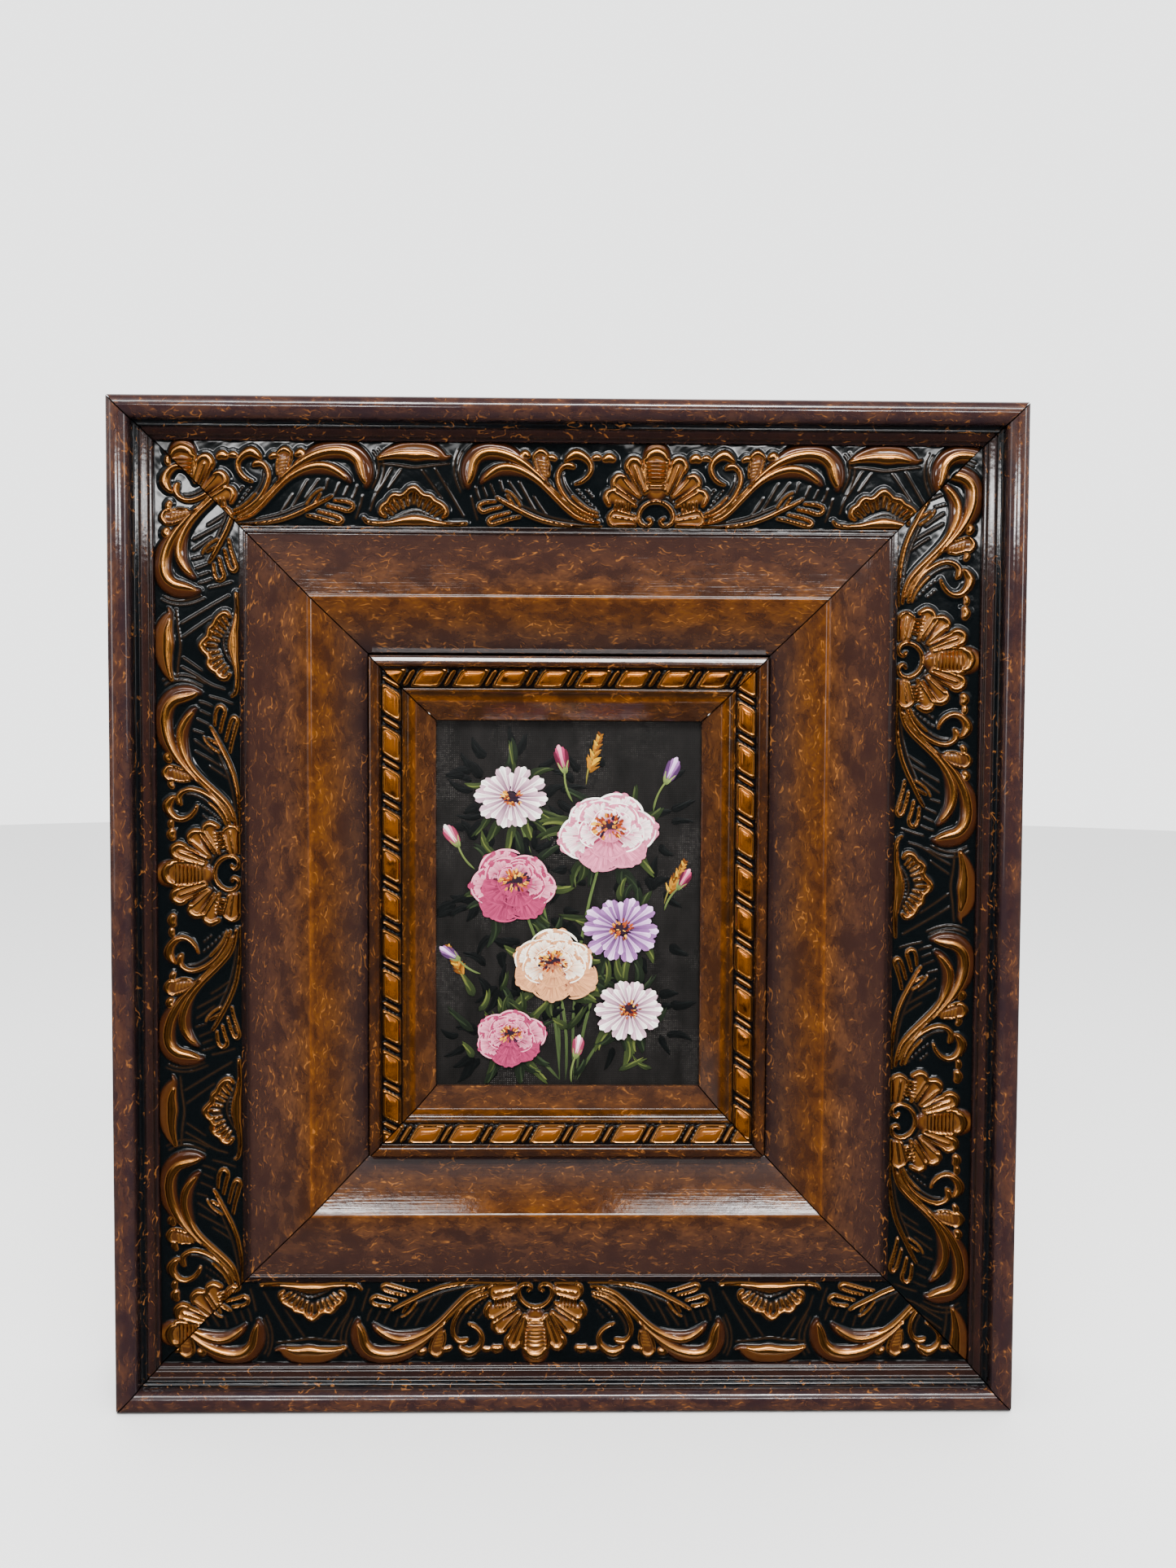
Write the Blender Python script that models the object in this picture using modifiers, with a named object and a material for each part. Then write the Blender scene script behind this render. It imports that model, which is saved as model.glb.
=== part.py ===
"""Framed painting: a wide frame of carved, lacquered moulding round a small canvas board.

The frame is two mouldings, one set inside the other, each mitred into four rails. Every rail is
modelled as the top rail: X runs along it, Z points out of the frame, -Y is its front, and its origin
is the outer left corner of its back. A point of a section is (inset from the outer edge, height over
the back). The rails are then turned round the Y axis into their places.
"""
import math

import bmesh
import bpy
from mathutils import Matrix, Vector

# Fits between pieces
SEAT_GAP = 0.0003           # between a piece and what it rests on
MITRE_GAP = 0.0003          # between two rails at a corner
BOARD_PLAY = 0.0005         # between the board's ends and its rabbet

# Canvas board and the opening that shows it
BOARD_WIDTH = 0.130
BOARD_HEIGHT = 0.180
BOARD_THICKNESS = 0.003
BOARD_EDGE = 0.0004         # softened edge of the board
BOARD_RECESS = 0.0035       # from the board's back to the inner moulding's back
SIDE_OVERLAP = 0.0031       # board hidden by the sight lip at left and right
END_OVERLAP = 0.0041        # and at top and bottom

# Inner moulding, widths from the sight edge outwards
SIGHT_LIP = 0.0022          # thickness of the lip at the sight edge
SLOPE_WIDTH = 0.0082        # flat slope beside the painting
SLOPE_RISE = 0.0090
COVE_WIDTH = 0.0043
COVE_DIP = 0.0007
FILLET_WIDTH = 0.0019
FILLET_RISE = 0.0014        # fillet over the slope's top edge
ROPE_WIDTH = 0.0091         # band of carved lozenges
ROPE_LIFT = 0.0010          # inner edge of the rope's ground over the slope's top edge
ROPE_TILT = 0.0020          # outer edge of the rope's ground over its inner edge
BEAD_GROOVE = 0.0005
BEAD_WIDTH = 0.0050
BEAD_RISE = 0.0024
BEAD_SEAT = 0.0038          # bead's foot over the slope's top edge
QUIRK_WIDTH = 0.0012        # narrow gap between the bead and the outer moulding
TONGUE_DROP = 0.0048        # hidden tongue under the slope's top edge

# Rope carving
ROPE_PITCH = 0.0186
LOZENGE_LENGTH = 0.0132
LOZENGE_HEIGHT = 0.0026
RIB_LENGTH = 0.0022
RIB_HEIGHT = 0.0016
ROPE_SLANT = 0.0050         # lean of a lozenge across the band
ROPE_MARGIN = 0.0004        # bare ground at each side of a lozenge
LOZENGE_TOP = 0.62          # top of a lozenge as a share of its foot
CORNER_REACH = math.sqrt(0.5)   # from the middle of a unit square to its corner

# Outer moulding, widths from its inner edge outwards
LIP_REACH = 0.0069          # lip over the inner moulding's tongue
LIP_THICKNESS = 0.0040
INNER_PANEL_WIDTH = 0.0234
INNER_PANEL_RISE = 0.0101
INNER_PANEL_CROWN = 0.0012
RIDGE_WIDTH = 0.0018        # small rounded edge between the two panels
RIDGE_RISE = 0.0005
OUTER_PANEL_WIDTH = 0.0275
OUTER_PANEL_FALL = 0.0026
LINE_WIDTH = 0.0014         # thin raised line beside the panel
LINE_RISE = 0.0010
STRIP_WIDTH = 0.0021
CARVED_WIDTH = 0.0369       # ground of the carved band
CARVED_DROP = 0.0008        # inner edge of the ground under the panel
CARVED_TILT = 0.0020        # outer edge of the ground over its inner edge
STEP_COUNT = 3
STEP_WIDTH = 0.0024         # each small step up to the rim
STEP_RISE = 0.0023
STEP_SLOPE = 0.0004
RIM_WIDTH = 0.0101
RIM_RISE = 0.0046
EDGE_BREAK = 0.0015         # chamfer at the back's outer edge
FOOT_WIDTH = 0.0580         # deep outer part of the back
BACK_STEP = 0.0120          # back of both mouldings over the foot, nearer the middle

# Carving: one repeat runs from shell to shell
CARVING_REPEAT = 0.2110
SHELL_PLACE = {"top": 0.0301, "right": 0.1128, "bottom": 0.0058, "left": 0.0314}
ROPE_PLACE = {"top": 0.0016, "right": -0.0029, "bottom": -0.0001, "left": 0.0098}
CARVING_SINK = 0.0003       # side edges of a ridge under the ground

# Hanger on the back
HANGER_LENGTH = 0.0450
HANGER_HEIGHT = 0.0090
HANGER_THICKNESS = 0.0010
HANGER_TAB = 0.0080         # flat end that a nail goes through
HANGER_LIFT = 0.0020        # middle stands off the rail to let a hook in
HANGER_BEND = 0.0020
TOOTH_COUNT = 7
TOOTH_DEPTH = 0.0025
NOTCH_SHARE = 0.9           # width of a notch as a share of the teeth's spacing
NAIL_RADIUS = 0.0020
NAIL_HEIGHT = 0.0006
NAIL_TAPER = 0.7            # top of a nail's head as a share of its foot

# Heights over the back, from the painting outwards
BOARD_BACK = BACK_STEP + BOARD_RECESS
SIGHT_UNDERSIDE = BOARD_BACK + BOARD_THICKNESS + SEAT_GAP
SIGHT_EDGE = SIGHT_UNDERSIDE + SIGHT_LIP
SLOPE_TOP = SIGHT_EDGE + SLOPE_RISE
TONGUE_TOP = SLOPE_TOP - TONGUE_DROP
LIP_UNDERSIDE = TONGUE_TOP + SEAT_GAP
LIP_TOP = LIP_UNDERSIDE + LIP_THICKNESS
RIDGE_SEAT = LIP_TOP + INNER_PANEL_RISE
PANEL_LOW = RIDGE_SEAT - OUTER_PANEL_FALL
GROUND_LOW = PANEL_LOW - CARVED_DROP
GROUND_HIGH = GROUND_LOW + CARVED_TILT
RIM_SEAT = GROUND_HIGH + (STEP_COUNT + 1) * STEP_RISE
FRAME_DEPTH = RIM_SEAT + RIM_RISE

# Insets from the frame's outer edge
STEPS_START = RIM_WIDTH
GROUND_START = STEPS_START + STEP_COUNT * STEP_WIDTH
GROUND_END = GROUND_START + CARVED_WIDTH
LINE_START = GROUND_END + STRIP_WIDTH
PANEL_START = LINE_START + LINE_WIDTH
RIDGE_START = PANEL_START + OUTER_PANEL_WIDTH
INNER_PANEL_START = RIDGE_START + RIDGE_WIDTH
OUTER_MOULDING_WIDTH = INNER_PANEL_START + INNER_PANEL_WIDTH
RABBET_START = OUTER_MOULDING_WIDTH - LIP_REACH
BEAD_START = OUTER_MOULDING_WIDTH + QUIRK_WIDTH
ROPE_START = BEAD_START + BEAD_WIDTH + BEAD_GROOVE
FILLET_START = ROPE_START + ROPE_WIDTH
COVE_START = FILLET_START + FILLET_WIDTH
SLOPE_START = COVE_START + COVE_WIDTH
RAIL_WIDTH = SLOPE_START + SLOPE_WIDTH
BOARD_RABBET = RAIL_WIDTH - max(SIDE_OVERLAP, END_OVERLAP) - BOARD_PLAY

FRAME_WIDTH = BOARD_WIDTH - 2 * SIDE_OVERLAP + 2 * RAIL_WIDTH
FRAME_HEIGHT = BOARD_HEIGHT - 2 * END_OVERLAP + 2 * RAIL_WIDTH
BACK_PLANE = FRAME_DEPTH / 2

# The carving is drawn on a sheet of these sizes, in millimetres, and stretched to the real band
SHEET_REPEAT = 211.0
SHEET_WIDTH = 36.9
FAN_MIDDLE = 102.5          # fan and bud between two shells
LEFT_SPREAD = 6.5           # the left spray swings wider than the right one


def clear_scene():
    """Empty the scene, so that the script can be run again."""
    for thing in list(bpy.data.objects):
        bpy.data.objects.remove(thing, do_unlink=True)


def new_collection(name):
    collection = bpy.data.collections.new(name)
    bpy.context.scene.collection.children.link(collection)
    return collection


def new_material(name, colour, roughness, metallic):
    material = bpy.data.materials.new(name)
    material.use_nodes = True
    shader = material.node_tree.nodes["Principled BSDF"]
    shader.inputs["Base Color"].default_value = (*colour, 1.0)
    shader.inputs["Roughness"].default_value = roughness
    shader.inputs["Metallic"].default_value = metallic
    return material


def mesh_object(name, bm, collection):
    """Close a bmesh into a named object whose faces point out."""
    bmesh.ops.recalc_face_normals(bm, faces=bm.faces)
    mesh = bpy.data.meshes.new(name)
    bm.to_mesh(mesh)
    bm.free()
    thing = bpy.data.objects.new(name, mesh)
    collection.objects.link(thing)
    return thing


def make_cutter(thing):
    """Keep a helper shape out of the model."""
    thing.hide_render = True
    thing.display_type = "WIRE"
    return thing


def add_boolean(thing, name, operation, other):
    modifier = thing.modifiers.new(name, "BOOLEAN")
    modifier.operation = operation
    modifier.solver = "EXACT"
    modifier.use_self = operation == "UNION"
    modifier.object = other


def draw_out(name, outline, direction, collection):
    """A flat outline drawn out along a direction into a closed solid."""
    bm = bmesh.new()
    face = bm.faces.new([bm.verts.new(point) for point in outline])
    drawn = bmesh.ops.extrude_face_region(bm, geom=[face])
    moved = [item for item in drawn["geom"] if isinstance(item, bmesh.types.BMVert)]
    bmesh.ops.translate(bm, verts=moved, vec=direction)
    return mesh_object(name, bm, collection)


def half_round(start, width, seat, rise, steps):
    """Points of a rounded bead, its crest `rise` over its seat."""
    points = []
    for step in range(steps + 1):
        angle = math.pi * step / steps
        points.append((start + width * (1 - math.cos(angle)) / 2, seat + rise * math.sin(angle)))
    return points


def crowned(start, width, height_start, height_end, crown, steps):
    """Points inside a gently rounded flat, without its two ends."""
    points = []
    for step in range(1, steps):
        share = step / steps
        level = height_start + (height_end - height_start) * share
        points.append((start + width * share, level + 4 * crown * share * (1 - share)))
    return points


def outer_section():
    """Section of the wide moulding: rim, steps, carved ground, two panels, lip and stepped back."""
    points = [(EDGE_BREAK, 0), (0, EDGE_BREAK)]
    points += half_round(0, RIM_WIDTH, RIM_SEAT, RIM_RISE, 6)
    for step in range(STEP_COUNT):
        inset = STEPS_START + step * STEP_WIDTH
        level = RIM_SEAT - (step + 1) * STEP_RISE
        points.append((inset + STEP_SLOPE, level))
        points.append((inset + STEP_WIDTH, level - STEP_SLOPE))
    points.append((GROUND_START + STEP_SLOPE, GROUND_HIGH))
    points.append((GROUND_END, GROUND_LOW))
    points.append((GROUND_END + STEP_SLOPE, PANEL_LOW))
    points.append((LINE_START, PANEL_LOW))
    points.append((LINE_START + LINE_WIDTH / 2, PANEL_LOW + LINE_RISE))
    points.append((PANEL_START, PANEL_LOW))
    points.append((RIDGE_START, RIDGE_SEAT))
    points.append((RIDGE_START + RIDGE_WIDTH / 2, RIDGE_SEAT + RIDGE_RISE))
    points.append((INNER_PANEL_START, RIDGE_SEAT))
    points += crowned(INNER_PANEL_START, INNER_PANEL_WIDTH, RIDGE_SEAT, LIP_TOP, INNER_PANEL_CROWN, 4)
    points.append((OUTER_MOULDING_WIDTH, LIP_TOP))
    points.append((OUTER_MOULDING_WIDTH, LIP_UNDERSIDE))
    points.append((RABBET_START, LIP_UNDERSIDE))
    points.append((RABBET_START, BACK_STEP))
    points.append((FOOT_WIDTH, BACK_STEP))
    points.append((FOOT_WIDTH, 0))
    return points


def inner_section():
    """Section of the slim moulding: tongue, bead, rope ground, fillet, cove, slope and rabbet."""
    outer_wall = RABBET_START + SEAT_GAP
    rope_low = SLOPE_TOP + ROPE_LIFT
    fillet_top = SLOPE_TOP + FILLET_RISE
    points = [(outer_wall, BACK_STEP), (outer_wall, TONGUE_TOP), (BEAD_START, TONGUE_TOP)]
    points += half_round(BEAD_START, BEAD_WIDTH, SLOPE_TOP + BEAD_SEAT, BEAD_RISE, 4)
    points.append((ROPE_START, rope_low + ROPE_TILT))
    points.append((FILLET_START, rope_low))
    points.append((FILLET_START + FILLET_WIDTH / 4, fillet_top))
    points.append((COVE_START, fillet_top))
    points += crowned(COVE_START, COVE_WIDTH, fillet_top, SLOPE_TOP, -COVE_DIP, 3)
    points.append((SLOPE_START, SLOPE_TOP))
    points.append((RAIL_WIDTH, SIGHT_EDGE))
    points.append((RAIL_WIDTH, SIGHT_UNDERSIDE))
    points.append((BOARD_RABBET, SIGHT_UNDERSIDE))
    points.append((BOARD_RABBET, BACK_STEP))
    return points


def moulding(name, section, length, collection):
    """A section drawn out along X, before its ends are mitred."""
    outline = [(0, -height, -inset) for inset, height in section]
    return draw_out(name, outline, (length, 0, 0), collection)


def mitre_block(name, length, collection):
    """Block with 45 degree ends that the mouldings are cut to."""
    margin = RAIL_WIDTH / 10
    end_gap = MITRE_GAP / math.sqrt(2)
    outline = []
    for inset in (-margin, RAIL_WIDTH + margin):
        ends = [inset + end_gap, length - inset - end_gap]
        if outline:
            ends.reverse()
        outline += [(along, margin, -inset) for along in ends]
    return make_cutter(draw_out(name, outline, (0, -FRAME_DEPTH - 2 * margin, 0), collection))


def arc(middle, radius, start, end, count, width_start, width_end):
    """Ridge points on an arc: angles in degrees, 0 along the rail and 90 towards the painting."""
    points = []
    for step in range(count):
        share = step / (count - 1)
        angle = math.radians(start + (end - start) * share)
        width = width_start + (width_end - width_start) * share
        across = middle[1] + radius * math.sin(angle)
        points.append((middle[0] + radius * math.cos(angle), across, width))
    return points


def ray(middle, angle, rings):
    """Lobe that runs out from one point; the angle is in degrees from straight outwards."""
    turn = math.radians(angle)
    lobe = []
    for radius, width in rings:
        lobe.append((middle[0] + radius * math.sin(turn), middle[1] - radius * math.cos(turn), width))
    return lobe


def shell_half():
    """Right half of a shell: spreading lobes and half of its volute."""
    ridges = []
    for lobe in range(4):
        reach = 23.5 - 1.5 * lobe
        ridges.append((ray((0, 31), 24 + 23.5 * lobe, ((9.5, 2.6), (16.5, 6.2), (reach, 8.0))), 1.0))
    volute = arc((0, 31.8), 7.0, -90, 20, 4, 1.5, 1.7)
    volute += arc((4.0, 33.6), 2.2, 60, 190, 2, 1.8, 1.8)
    ridges.append((volute, 1.5))
    return ridges


def shell_tongue():
    """Broad tongue in the middle of a shell, shared by both halves."""
    return [([(0, 21.0, 6.0), (0, 12.0, 9.5), (0, 5.0, 10.5), (0, 2.2, 6.0)], 0.62)]


def spray():
    """Right spray: scroll, two-lobed leaf, lower stem with two fingers, and small berries."""
    stem = [(22, 32, 1.0), (30.5, 27.4, 1.7), (36.5, 20.2, 2.0), (37.4, 13.0, 2.1), (34.6, 9.6, 2.4),
            (32.2, 11.4, 2.2)]
    crescent = [(29.4, 17.0, 1.8), (25.8, 14.6, 1.8), (24.6, 10.0, 2.2), (26.8, 5.8, 3.4), (30.6, 4.4, 4.4),
                (34.8, 6.4, 2.4)]
    upper = [(22, 35, 1.2), (33, 30.4, 2.4), (43, 20.8, 3.4), (52, 13.0, 5.2), (60, 7.6, 5.4), (67, 4.8, 5.8),
             (73.6, 4.4, 6.2), (79.2, 7.0, 6.0), (82.4, 11.8, 5.0), (81.4, 17.8, 2.2)]
    lower = [(53, 12.6, 3.0), (60, 10.6, 4.0), (68, 11.4, 4.2), (73.8, 15.8, 1.8)]
    branch = [(21, 36.2, 1.0), (38, 35.4, 1.5), (50, 31.8, 1.8), (58, 27.6, 2.0), (65, 24.0, 1.2)]
    fingers = [
        [(63.5, 28.8, 1.4), (70, 27.6, 3.8), (74.2, 28.2, 3.2)],
        [(55.5, 32.4, 1.4), (63, 33.0, 3.6), (69.6, 34.4, 3.0)],
    ]
    pod = [(45.4, 3.6, 4.8), (43.2, 14.6, 2.0)]
    berries = [(17.6, 6.4, 4.4), (52.0, 5.4, 3.6)]
    ridges = [(stem, 1.4), (crescent, 1.2), (upper, 1.0), (lower, 1.0), (branch, 1.4), (pod, 1.0)]
    ridges += [(finger, 0.9) for finger in fingers]
    for along, across, width in berries:
        reach = width / 2
        berry = [(along - reach, across, reach), (along, across, width), (along + reach, across, reach)]
        ridges.append((berry, 1.1))
    return ridges


def fan_group():
    """Bud, fan and ribbon halfway between two shells, drawn round FAN_MIDDLE."""
    bud = [(-13.5, 6.6, 1.6), (-5, 4.8, 5.6), (3, 4.6, 6.4), (11, 5.2, 5.0), (16.5, 6.8, 1.6)]
    ribbon = [(-22, 35.4, 1.2), (-10, 34.6, 2.2), (0, 32.2, 5.0), (10, 34.6, 2.2), (22, 35.4, 1.2)]
    ridges = [(bud, 0.9), (ribbon, 1.0)]
    for lobe in range(-3, 4):
        ridges.append((ray((0, 35), 25 * lobe, ((9.0, 3.4), (15.5, 6.6))), 1.0))
    return ridges


def spread(along):
    """How much farther from the shell the left spray is carved than the right one."""
    return LEFT_SPREAD * math.sin(math.pi * min(along, 95.0) / 95.0)


def repeat_ridges():
    """All ridges of one repeat round a shell at zero, each (points, rise)."""
    ridges = shell_tongue()
    for points, rise in shell_half():
        ridges.append((points, rise))
        ridges.append(([(-along, across, width) for along, across, width in points], rise))
    for points, rise in spray():
        ridges.append((points, rise))
        ridges.append(([(-along - spread(along), across, width) for along, across, width in points], rise))
    for points, rise in fan_group():
        ridges.append(([(along + FAN_MIDDLE, across, width) for along, across, width in points], rise))
    return ridges


def ground_height(inset):
    """Height of the carved band's tilted ground."""
    share = (inset - GROUND_START) / CARVED_WIDTH
    return GROUND_HIGH + (GROUND_LOW - GROUND_HIGH) * share


def ridge_curve(ridges, shell, length, rise):
    """One curve holding every ridge of one rise that a rail needs."""
    curve = bpy.data.curves.new("ridges", "CURVE")
    curve.dimensions = "3D"
    curve.twist_mode = "Z_UP"
    curve.bevel_depth = 1.0
    curve.bevel_resolution = 0
    curve.use_fill_caps = True
    curve.resolution_u = 1
    along_scale = CARVING_REPEAT / SHEET_REPEAT
    across_scale = CARVED_WIDTH / SHEET_WIDTH
    for points, ridge_rise in ridges:
        if ridge_rise != rise:
            continue
        placed = []
        for along, across, width in points:
            inset = GROUND_START + across * across_scale
            placed.append((shell + along * along_scale, inset, width * across_scale))
        inside = [inset < along < length - inset for along, inset, width in placed]
        if not any(inside):
            continue
        spline = curve.splines.new("BEZIER")
        spline.bezier_points.add(len(placed) - 1)
        for point, (along, inset, width) in zip(spline.bezier_points, placed):
            point.co = (along, -inset, 0)
            point.radius = width / 2
            point.handle_left_type = "AUTO"
            point.handle_right_type = "AUTO"
    return curve


def add_ridges(bm, curve, rise, collection):
    """Add a curve's tubes to a mesh, flattened to their rise and sunk into the ground."""
    holder = bpy.data.objects.new("ridges", curve)
    collection.objects.link(holder)
    evaluated = holder.evaluated_get(bpy.context.evaluated_depsgraph_get())
    shape = bpy.data.meshes.new_from_object(evaluated)
    tubes = bmesh.new()
    tubes.from_mesh(shape)
    bmesh.ops.remove_doubles(tubes, verts=tubes.verts, dist=0.00001)
    for vert in tubes.verts:
        inset = -vert.co.y
        height = ground_height(inset) - CARVING_SINK + vert.co.z * rise
        vert.co = Vector((vert.co.x, -height, -inset))
    tubes.to_mesh(shape)
    tubes.free()
    bm.from_mesh(shape)
    bpy.data.meshes.remove(shape)
    bpy.data.objects.remove(holder)


def carving(name, place, length, collection):
    """Every carved form of one rail as a mesh of closed ridges."""
    ridges = repeat_ridges()
    rises = sorted({rise for points, rise in ridges})
    first = math.floor(-place / CARVING_REPEAT) - 1
    last = math.ceil((length - place) / CARVING_REPEAT) + 1
    bm = bmesh.new()
    for rise in rises:
        for repeat in range(first, last + 1):
            curve = ridge_curve(ridges, place + repeat * CARVING_REPEAT, length, rise)
            if curve.splines:
                add_ridges(bm, curve, rise, collection)
            bpy.data.curves.remove(curve)
    return make_cutter(mesh_object(name, bm, collection))


def rope(name, place, length, collection):
    """Slanted lozenges with a slim rib between each two, sunk into the rope's ground."""
    low = SLOPE_TOP + ROPE_LIFT
    middle = length / 2 + place
    reach = ROPE_WIDTH - 2 * ROPE_MARGIN
    count = math.ceil(length / 2 / ROPE_PITCH)
    bm = bmesh.new()
    for step in range(-2 * count, 2 * count + 1):
        along = middle + (step + 1) * ROPE_PITCH / 2
        is_lozenge = step % 2 == 0
        if not ROPE_START < along < length - ROPE_START:
            continue
        size = LOZENGE_LENGTH if is_lozenge else RIB_LENGTH
        height = LOZENGE_HEIGHT if is_lozenge else RIB_HEIGHT
        made = bmesh.ops.create_cone(
            bm, cap_ends=True, segments=4, radius1=CORNER_REACH, radius2=CORNER_REACH * LOZENGE_TOP,
            depth=1, matrix=Matrix.Rotation(math.pi / 4, 4, "Z"))
        for vert in made["verts"]:
            across = vert.co.y
            inset = ROPE_START + ROPE_WIDTH / 2 - across * reach
            ground = low + ROPE_TILT * (FILLET_START - inset) / ROPE_WIDTH
            level = ground + (vert.co.z + 0.5) * (height + CARVING_SINK) - CARVING_SINK
            shift = along + vert.co.x * size + across * ROPE_SLANT
            vert.co = Vector((shift, -level, -inset))
    return make_cutter(mesh_object(name, bm, collection))


def place_rail(thing, side, root):
    """Turn a rail from the top position to its own side of the frame."""
    places = {
        "top": (0, -FRAME_WIDTH / 2, FRAME_HEIGHT),
        "right": (90, FRAME_WIDTH / 2, FRAME_HEIGHT),
        "bottom": (180, FRAME_WIDTH / 2, 0),
        "left": (270, -FRAME_WIDTH / 2, 0),
    }
    turn, across, up = places[side]
    thing.location = (across, BACK_PLANE, up)
    thing.rotation_euler = (0, math.radians(turn), 0)
    thing.parent = root


def finish_mesh(thing, material):
    """Apply a piece's cuts, then shade its round stretches smooth and keep its edges crisp."""
    evaluated = thing.evaluated_get(bpy.context.evaluated_depsgraph_get())
    shape = bpy.data.meshes.new_from_object(evaluated)
    thing.modifiers.clear()
    thing.data = shape
    shape.materials.clear()
    shape.materials.append(material)
    shape.shade_smooth()
    shape.set_sharp_from_angle(angle=math.radians(30))


def build_rails(root, parts, cutters):
    lacquer = new_material("brown_lacquered_wood", (0.075, 0.028, 0.014), 0.22, 0.0)
    rope_lacquer = new_material("copper_rubbed_wood", (0.16, 0.06, 0.02), 0.3, 0.2)
    lengths = {"top": FRAME_WIDTH, "right": FRAME_HEIGHT, "bottom": FRAME_WIDTH, "left": FRAME_HEIGHT}
    for side, length in lengths.items():
        block = mitre_block("mitre_" + side, length, cutters)
        outer = moulding("outer_rail_" + side, outer_section(), length, parts)
        inner = moulding("inner_rail_" + side, inner_section(), length, parts)
        leaves = carving("carving_" + side, SHELL_PLACE[side], length, cutters)
        lozenges = rope("rope_" + side, ROPE_PLACE[side], length, cutters)
        for rail, relief, material in ((outer, leaves, lacquer), (inner, lozenges, rope_lacquer)):
            add_boolean(rail, "carving", "UNION", relief)
            add_boolean(rail, "mitres", "INTERSECT", block)
            finish_mesh(rail, material)
        for thing in (block, outer, inner, leaves, lozenges):
            place_rail(thing, side, root)


def build_board(root, parts):
    """Canvas board in the inner moulding's rabbet."""
    bm = bmesh.new()
    bmesh.ops.create_cube(bm, size=1)
    bmesh.ops.scale(bm, verts=bm.verts, vec=(BOARD_WIDTH, BOARD_THICKNESS, BOARD_HEIGHT))
    board = mesh_object("canvas_board", bm, parts)
    edge = board.modifiers.new("edge", "BEVEL")
    edge.width = BOARD_EDGE
    edge.segments = 1
    board.location = (0, BACK_PLANE - BOARD_BACK - BOARD_THICKNESS / 2, FRAME_HEIGHT / 2)
    board.parent = root
    board.data.materials.append(new_material("painted_canvas", (0.05, 0.04, 0.035), 0.6, 0.0))


def build_hanger(root, parts, cutters):
    """Sawtooth hanger nailed in the shallow back of the top rail."""
    end = HANGER_LENGTH / 2
    bend = end - HANGER_TAB
    rise = HANGER_THICKNESS + HANGER_LIFT
    section = [(-end, 0), (-bend, 0), (HANGER_BEND - bend, HANGER_LIFT), (bend - HANGER_BEND, HANGER_LIFT),
               (bend, 0), (end, 0), (end, HANGER_THICKNESS), (bend, HANGER_THICKNESS),
               (bend - HANGER_BEND, rise), (HANGER_BEND - bend, rise), (-bend, HANGER_THICKNESS),
               (-end, HANGER_THICKNESS)]
    outline = [(along, back, -HANGER_HEIGHT / 2) for along, back in section]
    hanger = draw_out("sawtooth_hanger", outline, (0, 0, HANGER_HEIGHT), parts)

    run = 2 * (bend - 2 * HANGER_BEND)
    pitch = run / TOOTH_COUNT
    across_turn = Matrix.Rotation(math.pi / 2, 4, "X")
    teeth = bmesh.new()
    for tooth in range(TOOTH_COUNT):
        along = (tooth + 0.5) * pitch - run / 2
        size = Matrix.Diagonal((pitch * NOTCH_SHARE / 2, 2 * rise, TOOTH_DEPTH, 1))
        place = Matrix.Translation((along, rise, -HANGER_HEIGHT / 2))
        bmesh.ops.create_cone(
            teeth, cap_ends=True, segments=4, radius1=1, radius2=1, depth=1,
            matrix=place @ size @ across_turn)
    notches = make_cutter(mesh_object("hanger_notches", teeth, cutters))

    heads = bmesh.new()
    for side in (-1, 1):
        place = Matrix.Translation((side * (end - HANGER_TAB / 2), HANGER_THICKNESS, 0))
        turn = Matrix.Rotation(-math.pi / 2, 4, "X")
        bmesh.ops.create_cone(
            heads, cap_ends=True, segments=8, radius1=NAIL_RADIUS, radius2=NAIL_RADIUS * NAIL_TAPER,
            depth=2 * NAIL_HEIGHT, matrix=place @ turn)
    nails = make_cutter(mesh_object("hanger_nails", heads, cutters))

    add_boolean(hanger, "teeth", "DIFFERENCE", notches)
    add_boolean(hanger, "nails", "UNION", nails)
    finish_mesh(hanger, new_material("brassed_steel", (0.55, 0.42, 0.2), 0.35, 1.0))
    middle = FRAME_HEIGHT - (FOOT_WIDTH + RABBET_START) / 2
    for thing in (hanger, notches, nails):
        thing.location = (0, BACK_PLANE - BACK_STEP + SEAT_GAP, middle)
        thing.parent = root


def main():
    clear_scene()
    parts = new_collection("framed_painting")
    cutters = new_collection("cutters")
    root = bpy.data.objects.new("framed_painting_origin", None)
    parts.objects.link(root)
    build_rails(root, parts, cutters)
    build_board(root, parts)
    build_hanger(root, parts, cutters)


main()
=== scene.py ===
"""Framed painting, dressed: lacquered mouldings with a carved band and a rope band, a painted board.

Every rail is shaped as the top rail first. A point of it is (along the rail, inset from the frame's
outer edge, height over the back), in millimetres in the tables and in metres in the meshes. A turn
round the Y axis then takes the rail to its side of the frame.
"""
import math

import bmesh
import bpy
import numpy as np
from bpy.props import FloatProperty, FloatVectorProperty, IntProperty, PointerProperty
from mathutils import Matrix, Vector


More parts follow.
